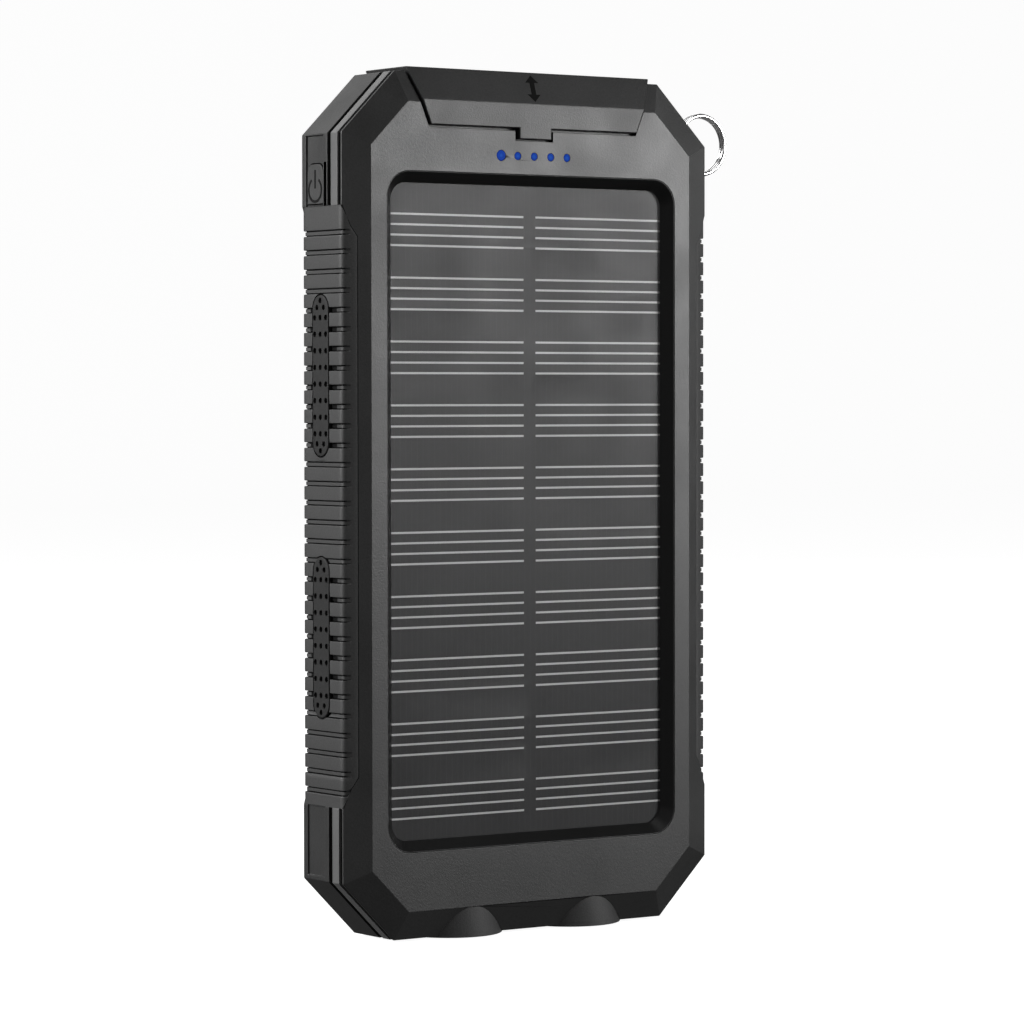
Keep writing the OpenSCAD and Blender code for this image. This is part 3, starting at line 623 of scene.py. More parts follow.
def grip_columns():
    """Columns across a grip: (x, depth, inward x, inward depth, way past the corner)."""
    tilt = math.atan(BEVEL_SLOPE)
    columns = []
    for i in range(SKIRT_COLUMNS + 1):
        past = GRIP_LAP * (1 - i / SKIRT_COLUMNS) ** SKIRT_CROWDING
        # the rounded corner starts here
        if past < CORNER_R:
            break
        columns.append((half_w - past, BEVEL_FALL - past * BEVEL_SLOPE,
                        -math.sin(tilt), math.cos(tilt), past))
    turn = math.pi / 2 - tilt
    centre_x = half_w - CORNER_R
    centre_d = BEVEL_FALL + CORNER_R * math.tan(turn / 2)
    for i in range(CORNER_COLUMNS + 1):
        a = turn * (1 - i / CORNER_COLUMNS)
        columns.append((centre_x + CORNER_R * math.cos(a), centre_d - CORNER_R * math.sin(a),
                        -math.cos(a), math.sin(a), 0))
    middle = [(half_w, centre_d + (BODY_T - 2 * centre_d) * i / SIDE_COLUMNS, -1, 0, 0)
              for i in range(1, SIDE_COLUMNS)]
    back_side = [(x, BODY_T - d, nx, -nd, past) for x, d, nx, nd, past in reversed(columns)]
    return columns + middle + back_side


def grip_rows():
    """Heights of the rows: a few at each groove, and close ones near the ends."""
    rows = set()
    for i in range(GRIP_GROOVES):
        centre = (i - (GRIP_GROOVES - 1) / 2) * GROOVE_PITCH + GROOVE_SHIFT
        rows.update(centre + sign * o for sign in (-1, 1) for o in GROOVE_ROWS)
    for sign in (-1, 1):
        rows.update(sign * (grip_end - o) for o in END_ROWS)
        rows.update(sign * z for z in SKIRT_ROWS)
    return sorted(rows)


def skirt_end(past):
    """Half height of the grip at a distance past its corner."""
    if past <= SKIRT_STEP:
        return grip_end - SKIRT_DROPS[0] * past / SKIRT_STEP
    rest = (past - SKIRT_STEP) / (GRIP_LAP - SKIRT_STEP)
    return grip_end - SKIRT_DROPS[0] - (SKIRT_DROPS[1] - SKIRT_DROPS[0]) * rest


def groove_offset(z):
    """Distance of a height from the middle of the nearest groove."""
    z_in_rows = z - GROOVE_SHIFT
    index = round(z_in_rows / GROOVE_PITCH + (GRIP_GROOVES - 1) / 2)
    index = min(GRIP_GROOVES - 1, max(0, index))
    return abs(z_in_rows - (index - (GRIP_GROOVES - 1) / 2) * GROOVE_PITCH)


def beside_pad(z):
    """Whether a height is one where a pad lies in the grip."""
    return abs(abs(z) - PAD_Z) < PAD_LEN / 2 - NOTCH_END


def groove_depth(z, past, d):
    """How deep a grip's surface lies under its smooth line."""
    off = groove_offset(z)
    deep = next(value for limit, value in GROOVE_STEPS if off >= limit)
    if deep > SKIRT_LIP and beside_pad(z):
        deep += NOTCH_DEEPER * smooth(1 - (abs(d - PAD_DEPTH) - PAD_W / 2) / NOTCH_FADE)
    return deep * (1 - smooth((past - GROOVE_FADE[0]) / GROOVE_FADE[1]))


def grip_mesh(name):
    """Closed skin of the right grip, in metres."""
    columns = grip_columns()
    rows = grip_rows()
    places = {}
    verts = []

    def corner(x, d, z):
        """Index of the vertex at a place, which is made only once."""
        key = (round(x, 5), round(d, 5), round(z, 5))
        if key not in places:
            places[key] = len(verts)
            verts.append((x * MM, (d - BODY_T) * MM, z * MM))
        return places[key]

    def grid(skin):
        """Vertices of the outer skin or of the inner wall, by column and row."""
        table = []
        for x, d, nx, nd, past in columns:
            end = skirt_end(past)
            line = []
            for z in rows:
                z = max(-end, min(end, z))
                sunk = GRIP_T
                if skin:
                    edge = end - abs(z)
                    lip = END_LIP if past == 0 else SKIRT_LIP
                    sunk = groove_depth(z, past, d)
                    if edge < LIP_RUN:
                        sunk = max(sunk, lip * (1 - edge / LIP_RUN) ** 2)
                    if past == GRIP_LAP:
                        sunk = RIM_SINK
                line.append(corner(x + nx * sunk, d + nd * sunk, z))
            table.append(line)
        return table

    faces = []

    def face(*loop):
        """Adds a face, unless its corners have drawn together into a line."""
        loop = [v for i, v in enumerate(loop) if v != loop[i - 1]]
        if len(set(loop)) == len(loop) >= 3:
            faces.append(loop)

    outer = grid(True)
    inner = grid(False)
    last = len(columns) - 1
    top = len(rows) - 1
    for c in range(last):
        for r in range(top):
            face(outer[c][r], outer[c + 1][r], outer[c + 1][r + 1], outer[c][r + 1])
            face(inner[c][r], inner[c][r + 1], inner[c + 1][r + 1], inner[c + 1][r])
        face(outer[c][0], inner[c][0], inner[c + 1][0], outer[c + 1][0])
        face(outer[c][top], outer[c + 1][top], inner[c + 1][top], inner[c][top])
    for r in range(top):
        face(outer[0][r], outer[0][r + 1], inner[0][r + 1], inner[0][r])
        face(outer[last][r], inner[last][r], inner[last][r + 1], outer[last][r + 1])
    mesh = bpy.data.meshes.new(name)
    mesh.from_pydata(verts, [], faces)
    return mesh


def outward(obj):
    """Turns every face of a closed mesh outwards."""
    bm = bmesh.new()
    bm.from_mesh(obj.data)
    bmesh.ops.recalc_face_normals(bm, faces=bm.faces)
    bm.to_mesh(obj.data)
    bm.free()
    return obj


def stadium(length, width, steps=14):
    """Outline of a pill in depth and height, about its own centre."""
    r = width / 2
    line = []
    for sign in (1, -1):
        for i in range(steps + 1):
            a = math.pi * i / steps
            line.append((sign * r * math.cos(a), sign * (length / 2 - r + r * math.sin(a))))
    return line


def prism(name, outline, x_low, x_high, d_mid, z_mid):
    """A flat outline in depth and height, drawn out across a span of width."""
    n = len(outline)
    verts = [(x * MM, (d_mid + d - BODY_T) * MM, (z_mid + z) * MM)
             for x in (x_low, x_high) for d, z in outline]
    faces = [tuple(reversed(range(n))), tuple(range(n, 2 * n))]
    faces += [(i, (i + 1) % n, (i + 1) % n + n, i + n) for i in range(n)]
    mesh = bpy.data.meshes.new(name)
    mesh.from_pydata(verts, [], faces)
    return outward(put(name, mesh))


def mirrored(obj, name):
    """A copy on the other side of the charger."""
    mesh = obj.data.copy()
    mesh.transform(Matrix.Scale(-1, 4, (1, 0, 0)))
    return outward(put(name, mesh))


grip_paint = surface("grip rubber", 0.02, rough=0.55, grain=0.3, speck=0.25, bump=0.03,
                     Specular_IOR_Level=0.42)

grip = outward(put("grip_right_rubber", grip_mesh("grip_right_rubber")))
for level in (-1, 1):
    cutter = prism("cutter", stadium(PAD_LEN + PAD_GAP, PAD_W + PAD_GAP), *CUTTER_X,
                   PAD_DEPTH, level * PAD_Z)
    cut = grip.modifiers.new("pad hole", "BOOLEAN")
    cut.object = cutter
    cut.solver = "EXACT"
    baked(grip)
    bpy.data.objects.remove(cutter)
other_grip = mirrored(grip, "grip_left_rubber")
for piece, node in ((grip, "grip_right"), (other_grip, "grip_left")):
    rounded(piece, 0)
    settled(piece, "housing", [grip_paint, painted_gap_shade], [node])
    # Painted shade on the side's faces in the slits of the grooves and in the notches beside
    # the pads
    for poly in piece.data.polygons:
        z = poly.center.z / MM
        off = groove_offset(z)
        from_pad = abs(depth(poly.center.y) - PAD_DEPTH) - PAD_W / 2
        in_slit = GROOVE_SLIT[0] < off < GROOVE_SLIT[1]
        in_notch = off < GROOVE_SLIT[1] and from_pad < PAD_NOTCH and beside_pad(z)
        on_side = abs(poly.center.x) / MM > half_w - GRIP_T + SIDE_SLACK
        if on_side and (in_slit or in_notch):
            poly.material_index = 1


# ---------------------------------------------------------------- grip pads
# Softer rubber pills set into the grips, with rows of small dimples for the fingers.

DIMPLE_R = 0.5
DIMPLE_DEEP = 0.45
DIMPLE_COLUMNS = 3
DIMPLE_ROWS = 8
DIMPLE_COLUMN_PITCH = 1.75
DIMPLE_ROW_PITCH = 2.86
DIMPLE_SIDES = 14
# The three dimples at each round end, from the pad's centre: a pair, then the tip
DIMPLE_END_PAIR = (1.05, 11.75)
DIMPLE_END_TIP = 12.95
PAD_EDGE = 0.22
PAD_PLAY = 0.1

pad_paint = surface("pad rubber", 0.008, rough=0.6, grain=0.25, speck=0.35, bump=0.04,
                    Specular_IOR_Level=0.25)


def dimple_tree(dark):
    """Cuts dimples into the pad that it is given, at a grid of points and at its ends. Their
    walls and floors get the given dark material, as painted shade.
    """
    tree, feed, out = new_tree("dimples", {
        "Radius": ("NodeSocketFloat", 0.001), "Deep": ("NodeSocketFloat", 0.001),
        "Centre": ("NodeSocketVector", (0, 0, 0)), "Columns": ("NodeSocketInt", 1),
        "Column Step": ("NodeSocketVector", (0, 0, 0)), "Rows": ("NodeSocketInt", 1),
        "Row Step": ("NodeSocketVector", (0, 0, 0)), "First": ("NodeSocketVector", (0, 0, 0)),
        "End Pair": ("NodeSocketVector", (0, 0, 0)), "End Tip": ("NodeSocketVector", (0, 0, 0)),
        "Pad": ("NodeSocketObject", None)})
    drill = tree.nodes.new("GeometryNodeMeshCylinder")
    drill.inputs["Vertices"].default_value = DIMPLE_SIDES
    tree.links.new(feed.outputs["Radius"], drill.inputs["Radius"])
    tree.links.new(feed.outputs["Deep"], drill.inputs["Depth"])
    turned = tree.nodes.new("GeometryNodeTransform")
    turned.inputs["Rotation"].default_value = (0, math.pi / 2, 0)
    tree.links.new(drill.outputs["Mesh"], turned.inputs["Geometry"])
    coat = tree.nodes.new("GeometryNodeSetMaterial")
    coat.inputs["Material"].default_value = dark
    tree.links.new(turned.outputs["Geometry"], coat.inputs["Geometry"])
    item = coat.outputs["Geometry"]
    field = row_of(tree, feed, row_of(tree, feed, item, "Columns", "Column Step"),
                   "Rows", "Row Step")
    placed = tree.nodes.new("GeometryNodeTransform")
    tree.links.new(field, placed.inputs["Geometry"])
    tree.links.new(feed.outputs["First"], placed.inputs["Translation"])
    group = tree.nodes.new("GeometryNodeJoinGeometry")
    tree.links.new(placed.outputs["Geometry"], group.inputs["Geometry"])
    for offset in ("End Pair", "End Tip"):
        for flip_y, flip_z in ((1, 1), (-1, 1), (1, -1), (-1, -1)):
            if offset == "End Tip" and flip_y < 0:
                continue
            turn = tree.nodes.new("ShaderNodeVectorMath")
            turn.operation = "MULTIPLY_ADD"
            tree.links.new(feed.outputs[offset], turn.inputs[0])
            turn.inputs[1].default_value = (1, flip_y, flip_z)
            tree.links.new(feed.outputs["Centre"], turn.inputs[2])
            one = tree.nodes.new("GeometryNodeTransform")
            tree.links.new(item, one.inputs["Geometry"])
            tree.links.new(turn.outputs["Vector"], one.inputs["Translation"])
            tree.links.new(one.outputs["Geometry"], group.inputs["Geometry"])
    real = tree.nodes.new("GeometryNodeRealizeInstances")
    tree.links.new(group.outputs["Geometry"], real.inputs["Geometry"])
    pad = tree.nodes.new("GeometryNodeObjectInfo")
    tree.links.new(feed.outputs["Pad"], pad.inputs["Object"])
    drilled = tree.nodes.new("GeometryNodeMeshBoolean")
    drilled.operation = "DIFFERENCE"
    drilled.solver = "EXACT"
    tree.links.new(pad.outputs["Geometry"], drilled.inputs["Mesh 1"])
    tree.links.new(real.outputs["Geometry"], drilled.inputs["Mesh 2"])
    tree.links.new(drilled.outputs["Mesh"], out.inputs["Geometry"])
    return tree


# Near-black paint inside the dimples: painted shade for the hollows
dimple_painted_shade = surface("dimple shade", 0.004, rough=0.8, speck=0.1, bump=0)
dimples = dimple_tree(dimple_painted_shade)
for level, word in ((1, "upper"), (-1, "lower")):
    node = f"grip_pad_right_{word}"
    outer_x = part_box(node)[1].x / MM
    blank = prism("pad blank", stadium(PAD_LEN - PAD_PLAY, PAD_W - PAD_PLAY),
                  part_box(node)[0].x / MM, outer_x, PAD_DEPTH, level * PAD_Z)
    blank.data.materials.append(pad_paint)
    rounded(blank, PAD_EDGE, 3)
    pad = grown(node + "_rubber", dimples, {
        "Radius": DIMPLE_R * MM, "Deep": 2 * DIMPLE_DEEP * MM,
        "Centre": mm(outer_x, PAD_DEPTH - BODY_T, level * PAD_Z),
        "Columns": DIMPLE_COLUMNS, "Column Step": mm(0, DIMPLE_COLUMN_PITCH, 0),
        "Rows": DIMPLE_ROWS, "Row Step": mm(0, 0, DIMPLE_ROW_PITCH),
        "First": mm(outer_x, PAD_DEPTH - BODY_T - DIMPLE_COLUMN_PITCH,
                    level * PAD_Z - (DIMPLE_ROWS - 1) / 2 * DIMPLE_ROW_PITCH),
        "End Pair": mm(0, *DIMPLE_END_PAIR), "End Tip": mm(0, 0, DIMPLE_END_TIP),
        "Pad": blank})
    bpy.data.objects.remove(blank)
    left = mirrored(pad, f"grip_pad_left_{word}_rubber")
    for piece, its_node in ((pad, node), (left, f"grip_pad_left_{word}")):
        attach(piece, "housing")
        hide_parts(its_node)


# ---------------------------------------------------------------- battery indicator
# A clear blue light guide whose five round ends come up through the face. The first,
# wider dot is the charging light and the others show the charge.

INDICATOR_PITCH = 3.55
INDICATOR_Z = 61.15
INDICATOR_CORE = (0.12, 0.45)


def indicator_material():
    """Blue plastic that glows a little, paler in the middle of each dot."""
    paint = surface("indicator blue", (0.003, 0.04, 0.3), rough=0.6, grain=0.3, speck=0.1,
                    bump=0, Specular_IOR_Level=0.08)
    tree = paint.node_tree
    shader = tree.nodes["Principled BSDF"]
    place = tree.nodes.new("ShaderNodeTexCoord").outputs["Object"]
    split = tree.nodes.new("ShaderNodeSeparateXYZ")
    tree.links.new(place, split.inputs["Vector"])
    wrap = tree.nodes.new("ShaderNodeMath")
    wrap.operation = "WRAP"
    tree.links.new(split.outputs["X"], wrap.inputs[0])
    wrap.inputs[1].default_value = INDICATOR_PITCH / 2 * MM
    wrap.inputs[2].default_value = -INDICATOR_PITCH / 2 * MM
    rise = tree.nodes.new("ShaderNodeMath")
    rise.operation = "SUBTRACT"
    tree.links.new(split.outputs["Z"], rise.inputs[0])
    rise.inputs[1].default_value = INDICATOR_Z * MM
    both = tree.nodes.new("ShaderNodeCombineXYZ")
    tree.links.new(wrap.outputs["Value"], both.inputs["X"])
    tree.links.new(rise.outputs["Value"], both.inputs["Y"])
    away = tree.nodes.new("ShaderNodeVectorMath")
    away.operation = "LENGTH"
    tree.links.new(both.outputs["Vector"], away.inputs[0])
    core = remapped(tree, away.outputs["Value"], mm(*INDICATOR_CORE), (1, 0))
    core.interpolation_type = "SMOOTHSTEP"
    mix = tree.nodes.new("ShaderNodeMix")
    mix.data_type = "RGBA"
    tree.links.new(core.outputs["Result"], mix.inputs["Factor"])
    mix.inputs[6].default_value = (0, 0.02, 0.22, 1)
    mix.inputs[7].default_value = (0.01, 0.1, 0.4, 1)
    tree.links.new(mix.outputs[2], shader.inputs["Emission Color"])
    shader.inputs["Emission Strength"].default_value = 0.4
    return paint


from_cad("light_guide", "light_guide_dots", "housing",
         indicator_material(), edge=0.08)
led_paint = surface("led body", 0.8, rough=0.4, grain=0.5, speck=0.05, bump=0)
from_cad("indicator_leds", "indicator_led_chips", "housing", led_paint, 0.05)


# ---------------------------------------------------------------- power button
# A dark plastic key in the upper left side, rounded at its top. The power sign is
# printed on it in black, and a slot beside it lets the switch light shine out.

SIGN_Z = 54.65
SIGN_DEPTH = 10.32
SIGN_R = 2.02
SIGN_LINE = 0.46
SIGN_OPEN = 33
SIGN_STEPS = 36
BAR_LOW = 54.9
BAR_HIGH = 58.1
INK_T = 0.03

button_paint = surface("button plastic", 0.014, rough=0.45, grain=0.3, speck=0.22, bump=0.03)
print_black = surface("black print", 0.002, rough=0.7, speck=0.1, bump=0,
                      Specular_IOR_Level=0.1)
from_cad("power_button", "power_button_key", "button", button_paint, 0.1)


def flat_shape(name, loops, lift):
    """A thin closed shape from quads given as places; lift moves its upper side."""
    bm = bmesh.new()
    for loop in loops:
        low = [bm.verts.new(p) for p in loop]
        bm.faces.new(low)
    bmesh.ops.remove_doubles(bm, verts=bm.verts, dist=1e-7)
    kept = bmesh.ops.extrude_face_region(bm, geom=list(bm.faces))
    moved = [g for g in kept["geom"] if isinstance(g, bmesh.types.BMVert)]
    bmesh.ops.translate(bm, verts=moved, vec=lift)
    bmesh.ops.recalc_face_normals(bm, faces=bm.faces)
    mesh = bpy.data.meshes.new(name)
    bm.to_mesh(mesh)
    bm.free()
    return put(name, mesh)


def power_sign():
    """An open ring with an upright bar, on the button's face."""
    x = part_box("power_button")[0].x
    loops = []

    def spot(radius, angle):
        a = math.radians(angle)
        return (x, (SIGN_DEPTH - BODY_T + radius * math.sin(a)) * MM,
                (SIGN_Z + radius * math.cos(a)) * MM)

    half = SIGN_LINE / 2
    inner, outer = SIGN_R - half, SIGN_R + half
    for i in range(SIGN_STEPS):
        a = SIGN_OPEN + (360 - 2 * SIGN_OPEN) * i / SIGN_STEPS
        b = SIGN_OPEN + (360 - 2 * SIGN_OPEN) * (i + 1) / SIGN_STEPS
        loops.append([spot(inner, a), spot(outer, a), spot(outer, b), spot(inner, b)])
    loops.append([(x, (SIGN_DEPTH - BODY_T + o) * MM, z * MM)
                  for o, z in ((-half, BAR_LOW), (half, BAR_LOW), (half, BAR_HIGH),
                               (-half, BAR_HIGH))])
    return flat_shape("power_sign", loops, mm(-INK_T, 0, 0))


settled(power_sign(), "button", [print_black])


# ---------------------------------------------------------------- port cover
# A stiff rubber lid over the ports: it folds over the upper edge, a tab at its front
# gives the thumb a hold, and pegs under it plug the ports. An arrow shows which way.

ARROW_LOW = 70.75
ARROW_HIGH = 75.45
ARROW_HEAD = 1.3
ARROW_HEAD_HALF_W = 1.4
ARROW_SHAFT_HALF_W = 0.5
COVER_OVERHANG = 0.1

cover_paint = surface("cover rubber", 0.016, rough=0.42, grain=0.3, speck=0.3, bump=0.035)
from_cad("port_cover", "port_cover_lid", "cover", cover_paint, 0.18)


def arrow_sign():
    """A double arrow on the sloped border of the port cover."""
    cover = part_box("port_cover")
    ridge = BODY_HALF_H - BEVEL_RUN + COVER_OVERHANG
    face = depth(cover[0].y)

    def spot(x, z):
        return mm(x, face + (z - ridge) * BEVEL_SLOPE - BODY_T, z)

    low, high = ARROW_LOW + ARROW_HEAD, ARROW_HIGH - ARROW_HEAD
    wide, slim = ARROW_HEAD_HALF_W, ARROW_SHAFT_HALF_W
    loops = [[spot(-slim, low), spot(slim, low), spot(slim, high), spot(-slim, high)]]
    for tip, base in ((ARROW_LOW, low), (ARROW_HIGH, high)):
        loops.append([spot(0, tip), spot(wide, base), spot(slim, base)])
        loops.append([spot(0, tip), spot(slim, base), spot(-slim, base)])
        loops.append([spot(0, tip), spot(-slim, base), spot(-wide, base)])
    return flat_shape("cover_arrow", loops, mm(0, -INK_T, INK_T * BEVEL_SLOPE))


settled(arrow_sign(), "cover", [print_black])


# ---------------------------------------------------------------- cover strap
# The rubber strap that hinges the port cover. Its foot is keyed into the rear border and
# its upper edge is moulded to the cover, so it bends just under the cover's back edge.

# (depth, height) along the strap's outer and inner sides, from its foot to the cover
STRAP_OUT = [(14.2, 70.65), (15.72, 70.97), (15.52, 72.2), (15.36, 73.4), (15.4, 74.3),
             (15.42, 74.8), (15.42, 75.2), (15.3, 75.5), (15.0, 75.72), (14.6, 75.8),
             (14.15, 75.8)]
STRAP_IN = [(14.2, 71.5), (14.85, 71.75), (14.7, 72.6), (14.6, 73.5), (14.6, 74.3),
            (14.62, 74.75), (14.66, 75.0), (14.6, 75.1), (14.45, 75.15), (14.3, 75.15),
            (14.15, 75.15)]
STRAP_COLUMNS = 12
STRAP_EDGE = 0.08


def strap_mesh():
    """The strap's side outline, drawn out across its width in closed rows."""
    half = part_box("cover_tether")[1].x / MM
    verts = []
    faces = []
    n = len(STRAP_OUT)
    for i in range(STRAP_COLUMNS + 1):
        x = half * (2 * i / STRAP_COLUMNS - 1)
        verts += [mm(x, d - BODY_T, z) for d, z in STRAP_OUT + STRAP_IN]
    for i in range(STRAP_COLUMNS):
        a, b = i * 2 * n, (i + 1) * 2 * n
        for j in range(n - 1):
            faces.append((a + j, a + j + 1, b + j + 1, b + j))
            faces.append((a + n + j + 1, a + n + j, b + n + j, b + n + j + 1))
        faces.append((a + n, a, b, b + n))
        faces.append((a + n - 1, a + 2 * n - 1, b + 2 * n - 1, b + n - 1))
    for start in (0, STRAP_COLUMNS * 2 * n):
        for j in range(n - 1):
            faces.append((start + j, start + n + j, start + n + j + 1, start + j + 1))
    mesh = bpy.data.meshes.new("cover_strap")
    mesh.from_pydata(verts, [], faces)
    return outward(put("cover_strap", mesh))


strap = rounded(strap_mesh(), STRAP_EDGE, sharp=35)
strap.data.materials.clear()
strap.data.materials.append(cover_paint)
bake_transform(strap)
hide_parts("cover_tether")


# ---------------------------------------------------------------- ports
# Two full-size charging sockets and a small oval one between them, set in a black plate
# behind the cover. Steel shells, plastic tongues and gold-plated contacts.

USB_A_X = 16.5
# Gold contacts: (width, thickness, length), pitch, depth of the first row's middle, and
# how far their middle lies below the tongue's tip
A_CONTACTS = 4
A_CONTACT_SIZE = (1.0, 0.06, 6.5)
A_CONTACT_PITCH = 2.2
A_CONTACT_DEPTH = 6.97
A_CONTACT_BELOW = 4.2
C_CONTACTS = 12
C_CONTACT_SIZE = (0.25, 0.04, 3.0)
C_CONTACT_PITCH = 0.5
C_CONTACT_DEPTH = 8.04
C_CONTACT_BELOW = 2.2
C_ROWS_APART = 0.72

plate_paint = surface("port plate black", 0.006, rough=0.45, grain=0.3, speck=0.3, bump=0.02)
steel_paint = surface("stamped steel", 0.62, rough=0.28, metallic=1.0, grain=0.6, speck=0.06,
                      bump=0.004)
tongue_paint = surface("tongue white", 0.72, rough=0.4, grain=0.4, speck=0.05, bump=0.008)
tongue_black = surface("tongue black", 0.01, rough=0.4, grain=0.3, speck=0.2, bump=0.01)
gold_paint = surface("gold plating", (0.85, 0.58, 0.22), rough=0.22, metallic=1.0, grain=0.3,
                     speck=0.06, bump=0)
from_cad("port_plate", "port_plate_black", "housing", plate_paint, 0.12)
for side in ("left", "right"):
    from_cad(f"usb_a_shell_{side}", f"usb_a_shell_{side}_steel", "housing",
             steel_paint, 0.08)
    from_cad(f"usb_a_tongue_{side}", f"usb_a_tongue_{side}_plastic", "housing",
             tongue_paint, 0.1)
from_cad("usb_c_shell", "usb_c_shell_steel", "housing", steel_paint, 0.06)
from_cad("usb_c_tongue", "usb_c_tongue_plastic", "housing", tongue_black, 0.05)

contact_tree = bar_array_tree(gold_paint)
for side, sign in (("left", -1), ("right", 1)):
    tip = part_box(f"usb_a_tongue_{side}")[1].z / MM
    strips = grown(f"usb_a_contacts_{side}", contact_tree, {
        "Size": mm(*A_CONTACT_SIZE),
        "Start": mm(sign * USB_A_X - (A_CONTACTS - 1) / 2 * A_CONTACT_PITCH,
                    A_CONTACT_DEPTH - BODY_T, tip - A_CONTACT_BELOW),
        "Rows": A_CONTACTS, "Row Step": mm(A_CONTACT_PITCH, 0, 0)})
    settled(strips, "housing", [gold_paint])
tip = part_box("usb_c_tongue")[1].z / MM
strips = grown("usb_c_contacts", contact_tree, {
    "Size": mm(*C_CONTACT_SIZE),
    "Start": mm(-(C_CONTACTS - 1) / 2 * C_CONTACT_PITCH, C_CONTACT_DEPTH - BODY_T,
                tip - C_CONTACT_BELOW),
    "Rows": C_CONTACTS, "Row Step": mm(C_CONTACT_PITCH, 0, 0),
    "Groups": 2, "Group Step": mm(0, C_ROWS_APART, 0)})
settled(strips, "housing", [gold_paint])


# ---------------------------------------------------------------- circuit board
# A green board with its power inductor, controllers and capacitors, and the tact switch
# whose plunger the button presses.

ferrite_paint = surface("ferrite", 0.045, rough=0.7, grain=0.3, speck=0.35, bump=0.03)
chip_paint = surface("chip epoxy", 0.008, rough=0.55, grain=0.2, speck=0.25, bump=0.015)
ceramic_paint = surface("ceramic", (0.42, 0.25, 0.12), rough=0.45, grain=0.3, speck=0.15,
                        bump=0.01)
plunger_paint = surface("plunger", 0.6, rough=0.45, grain=0.3, speck=0.08, bump=0.01)
from_cad("circuit_board", "circuit_board_green", "housing", board_green,
         0.06)
from_cad("power_inductor", "power_inductor_ferrite", "housing",
         ferrite_paint, 0.15)
from_cad("controller_chip", "controller_chips", "housing", chip_paint, 0.08)
from_cad("capacitors", "ceramic_capacitors", "housing", ceramic_paint, 0.08)
from_cad("tact_switch", "tact_switch_body", "housing", chip_paint, 0.08)
from_cad("switch_plunger", "switch_plunger_pin", "plunger", plunger_paint,
         0.1)


# ---------------------------------------------------------------- battery and leads
# Two flat lithium cells in crimped aluminium foil, taped to each other and to the floor
# of the shell, with their leads soldered to the board.

foil_paint = surface("battery foil", 0.55, rough=0.38, metallic=0.85, grain=1.8, speck=0.05,
                     bump=0.05)
white_tape = surface("double-sided tape", (0.75, 0.72, 0.6), rough=0.8, grain=0.4,
                     speck=0.06, bump=0.02)
red_wire = surface("red wire", (0.45, 0.02, 0.015), rough=0.42, grain=0.5, speck=0.1,
                   bump=0.01)
grey_wire = surface("grey wire", 0.35, rough=0.45, grain=0.5, speck=0.1, bump=0.01)
dark_wire = surface("dark wire", 0.015, rough=0.45, grain=0.5, speck=0.15, bump=0.01)
for node in ("battery_cell_front", "battery_cell_back"):
    from_cad(node, node + "_foil", "housing", foil_paint, 0.5, 3)
from_cad("battery_tape", "battery_tape_pads", "housing", white_tape, 0.04)
from_cad("battery_leads", "battery_leads_red", "housing", red_wire, 0)
from_cad("solar_leads", "solar_leads_dark", "housing", dark_wire, 0)
from_cad("torch_leads", "torch_leads_grey", "housing", grey_wire, 0)


# ---------------------------------------------------------------- torches
# Two lamps in the lower end. Each flared bezel carries a clear lens on a rubber seal, a
# bright parabolic reflector and a white emitter on a shared aluminium board.

reflector_paint = surface("vacuum plating", 0.9, rough=0.08, metallic=1.0, grain=0.6,
                          speck=0.02, bump=0, patch=0.02)
lens_paint = surface("clear lens", 0.9, rough=0.03, grain=0.6, speck=0.02, bump=0,
                     patch=0.01, Transmission_Weight=1.0, IOR=1.49)
phosphor_paint = surface("phosphor", (0.9, 0.75, 0.25), rough=0.4, grain=0.2, speck=0.08,
                         bump=0)
torch_board_paint = surface("torch board", 0.7, rough=0.4, grain=0.6, speck=0.06, bump=0.01)
torch_seal_paint = surface("torch seal", 0.01, rough=0.7, grain=0.3, speck=0.2, bump=0.02)
torch_paint = surface("torch rim plastic", 0.014, rough=0.66, grain=0.3, speck=0.25,
                      bump=0.035)
for side in ("left", "right"):
    from_cad(f"torch_bezel_{side}", f"torch_bezel_{side}_flare", "housing",
             torch_paint, 0.14)
    from_cad(f"torch_reflector_{side}", f"torch_reflector_{side}_bowl", "housing",
             reflector_paint, 0)
    from_cad(f"torch_lens_{side}", f"torch_lens_{side}_clear", "housing",
             lens_paint, 0.15)
from_cad("torch_emitters", "torch_emitters_phosphor", "housing",
         phosphor_paint, 0.08)
from_cad("torch_board", "torch_board_white", "housing",
         torch_board_paint, 0.06)
from_cad("torch_seals", "torch_seal_rings", "housing", torch_seal_paint,
         0.05)


# ---------------------------------------------------------------- fasteners
# Six black hex-socket screws close the case from behind, and three small ones hold the
# circuit board. A steel post in the top right corner holds the key ring.

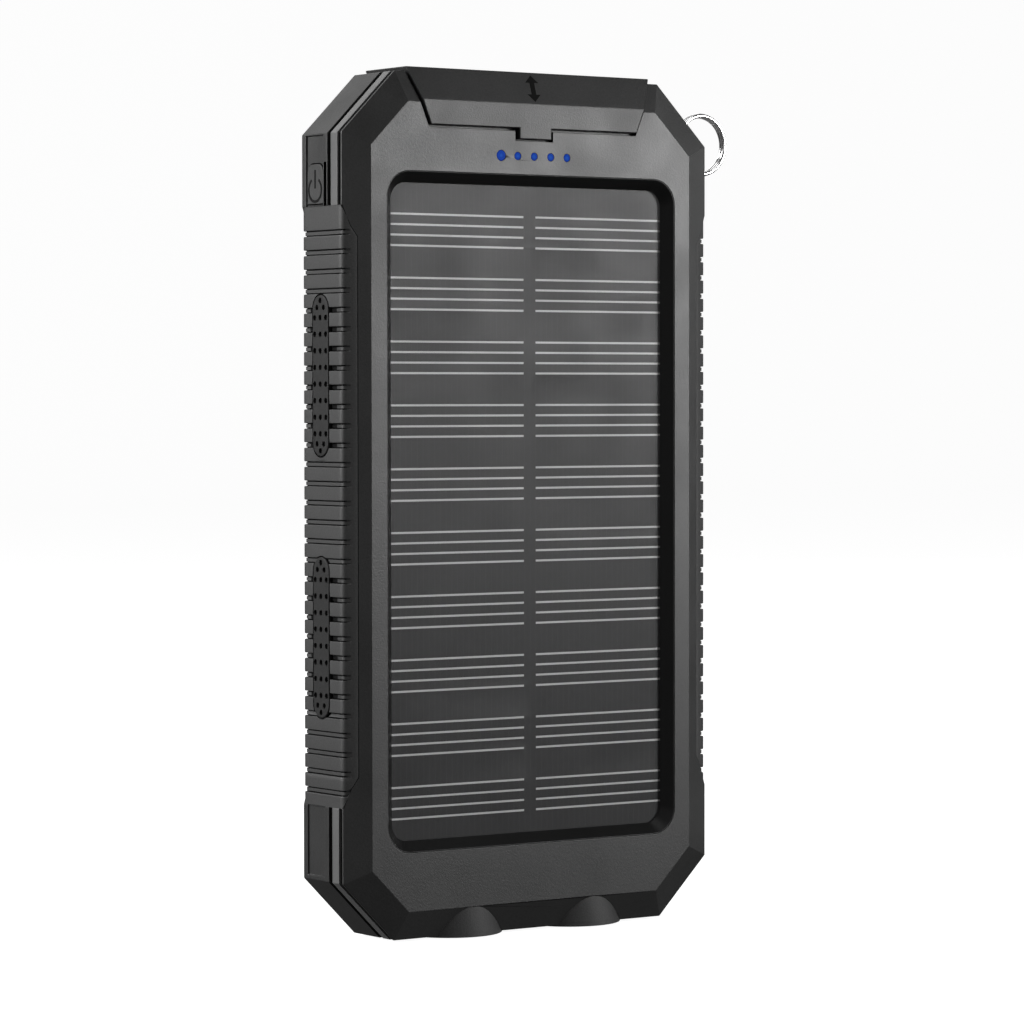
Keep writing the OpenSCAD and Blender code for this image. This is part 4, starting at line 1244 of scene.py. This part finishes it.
screw_paint = surface("blackened steel", 0.07, rough=0.36, metallic=0.9, grain=0.5,
                      speck=0.15, bump=0.01)
bright_steel = surface("bright steel", 0.55, rough=0.25, metallic=1.0, grain=0.5, speck=0.06,
                       bump=0.005)
from_cad("case_screws", "case_screws_black", "housing", screw_paint, 0.1)
from_cad("board_screws", "board_screws_steel", "housing", bright_steel, 0.08)
from_cad("lanyard_pin", "lanyard_post", "housing", bright_steel, 0.08)


# ---------------------------------------------------------------- key ring
# A split ring of polished wire: one length wound in two turns, which crosses from one
# turn to the other beside its two cut ends.

RING_R = 5.3
RING_WIRE_R = 0.45
RING_OFFSET = 0.36
# Degrees over which the wire crosses from turn to turn, and from there to its cut ends
RING_CROSS = 26
RING_END_GAP = 4
RING_END_SLIM = 0.82
RING_STEPS = 150
RING_SIDES = 16


def split_ring():
    """Sweeps a round wire through two turns about the ring's own axis."""
    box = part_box("key_ring")
    centre = (box[0] + box[1]) / 2
    start = RING_CROSS + RING_END_GAP
    reach = 720 - 2 * start
    verts = []
    faces = []
    for i in range(RING_STEPS + 1):
        angle = start + reach * i / RING_STEPS
        side = -1 + 2 * smooth((angle - 360 + RING_CROSS) / (2 * RING_CROSS))
        a = math.radians(angle + 180)
        # only the two end sections are slimmer, as a dressed cut is
        fine = RING_WIRE_R * (RING_END_SLIM if i in (0, RING_STEPS) else 1)
        for j in range(RING_SIDES):
            b = 2 * math.pi * j / RING_SIDES
            r = RING_R + fine * math.cos(b)
            verts.append((centre.x + r * math.cos(a) * MM,
                          centre.y + (RING_OFFSET * side + fine * math.sin(b)) * MM,
                          centre.z + r * math.sin(a) * MM))
    for i in range(RING_STEPS):
        for j in range(RING_SIDES):
            k = (j + 1) % RING_SIDES
            faces.append((i * RING_SIDES + j, i * RING_SIDES + k, (i + 1) * RING_SIDES + k,
                          (i + 1) * RING_SIDES + j))
    faces.append(tuple(range(RING_SIDES)))
    faces.append(tuple(RING_STEPS * RING_SIDES + j for j in range(RING_SIDES)))
    mesh = bpy.data.meshes.new("key_ring_wire")
    mesh.from_pydata(verts, [], faces)
    return outward(put("key_ring_wire", mesh))


chrome = surface("polished chrome", 0.95, rough=0.14, metallic=1.0, grain=0.8, speck=0.02,
                 bump=0, patch=0.02)
settled(rounded(split_ring(), 0), "ring", [chrome], ["key_ring"])
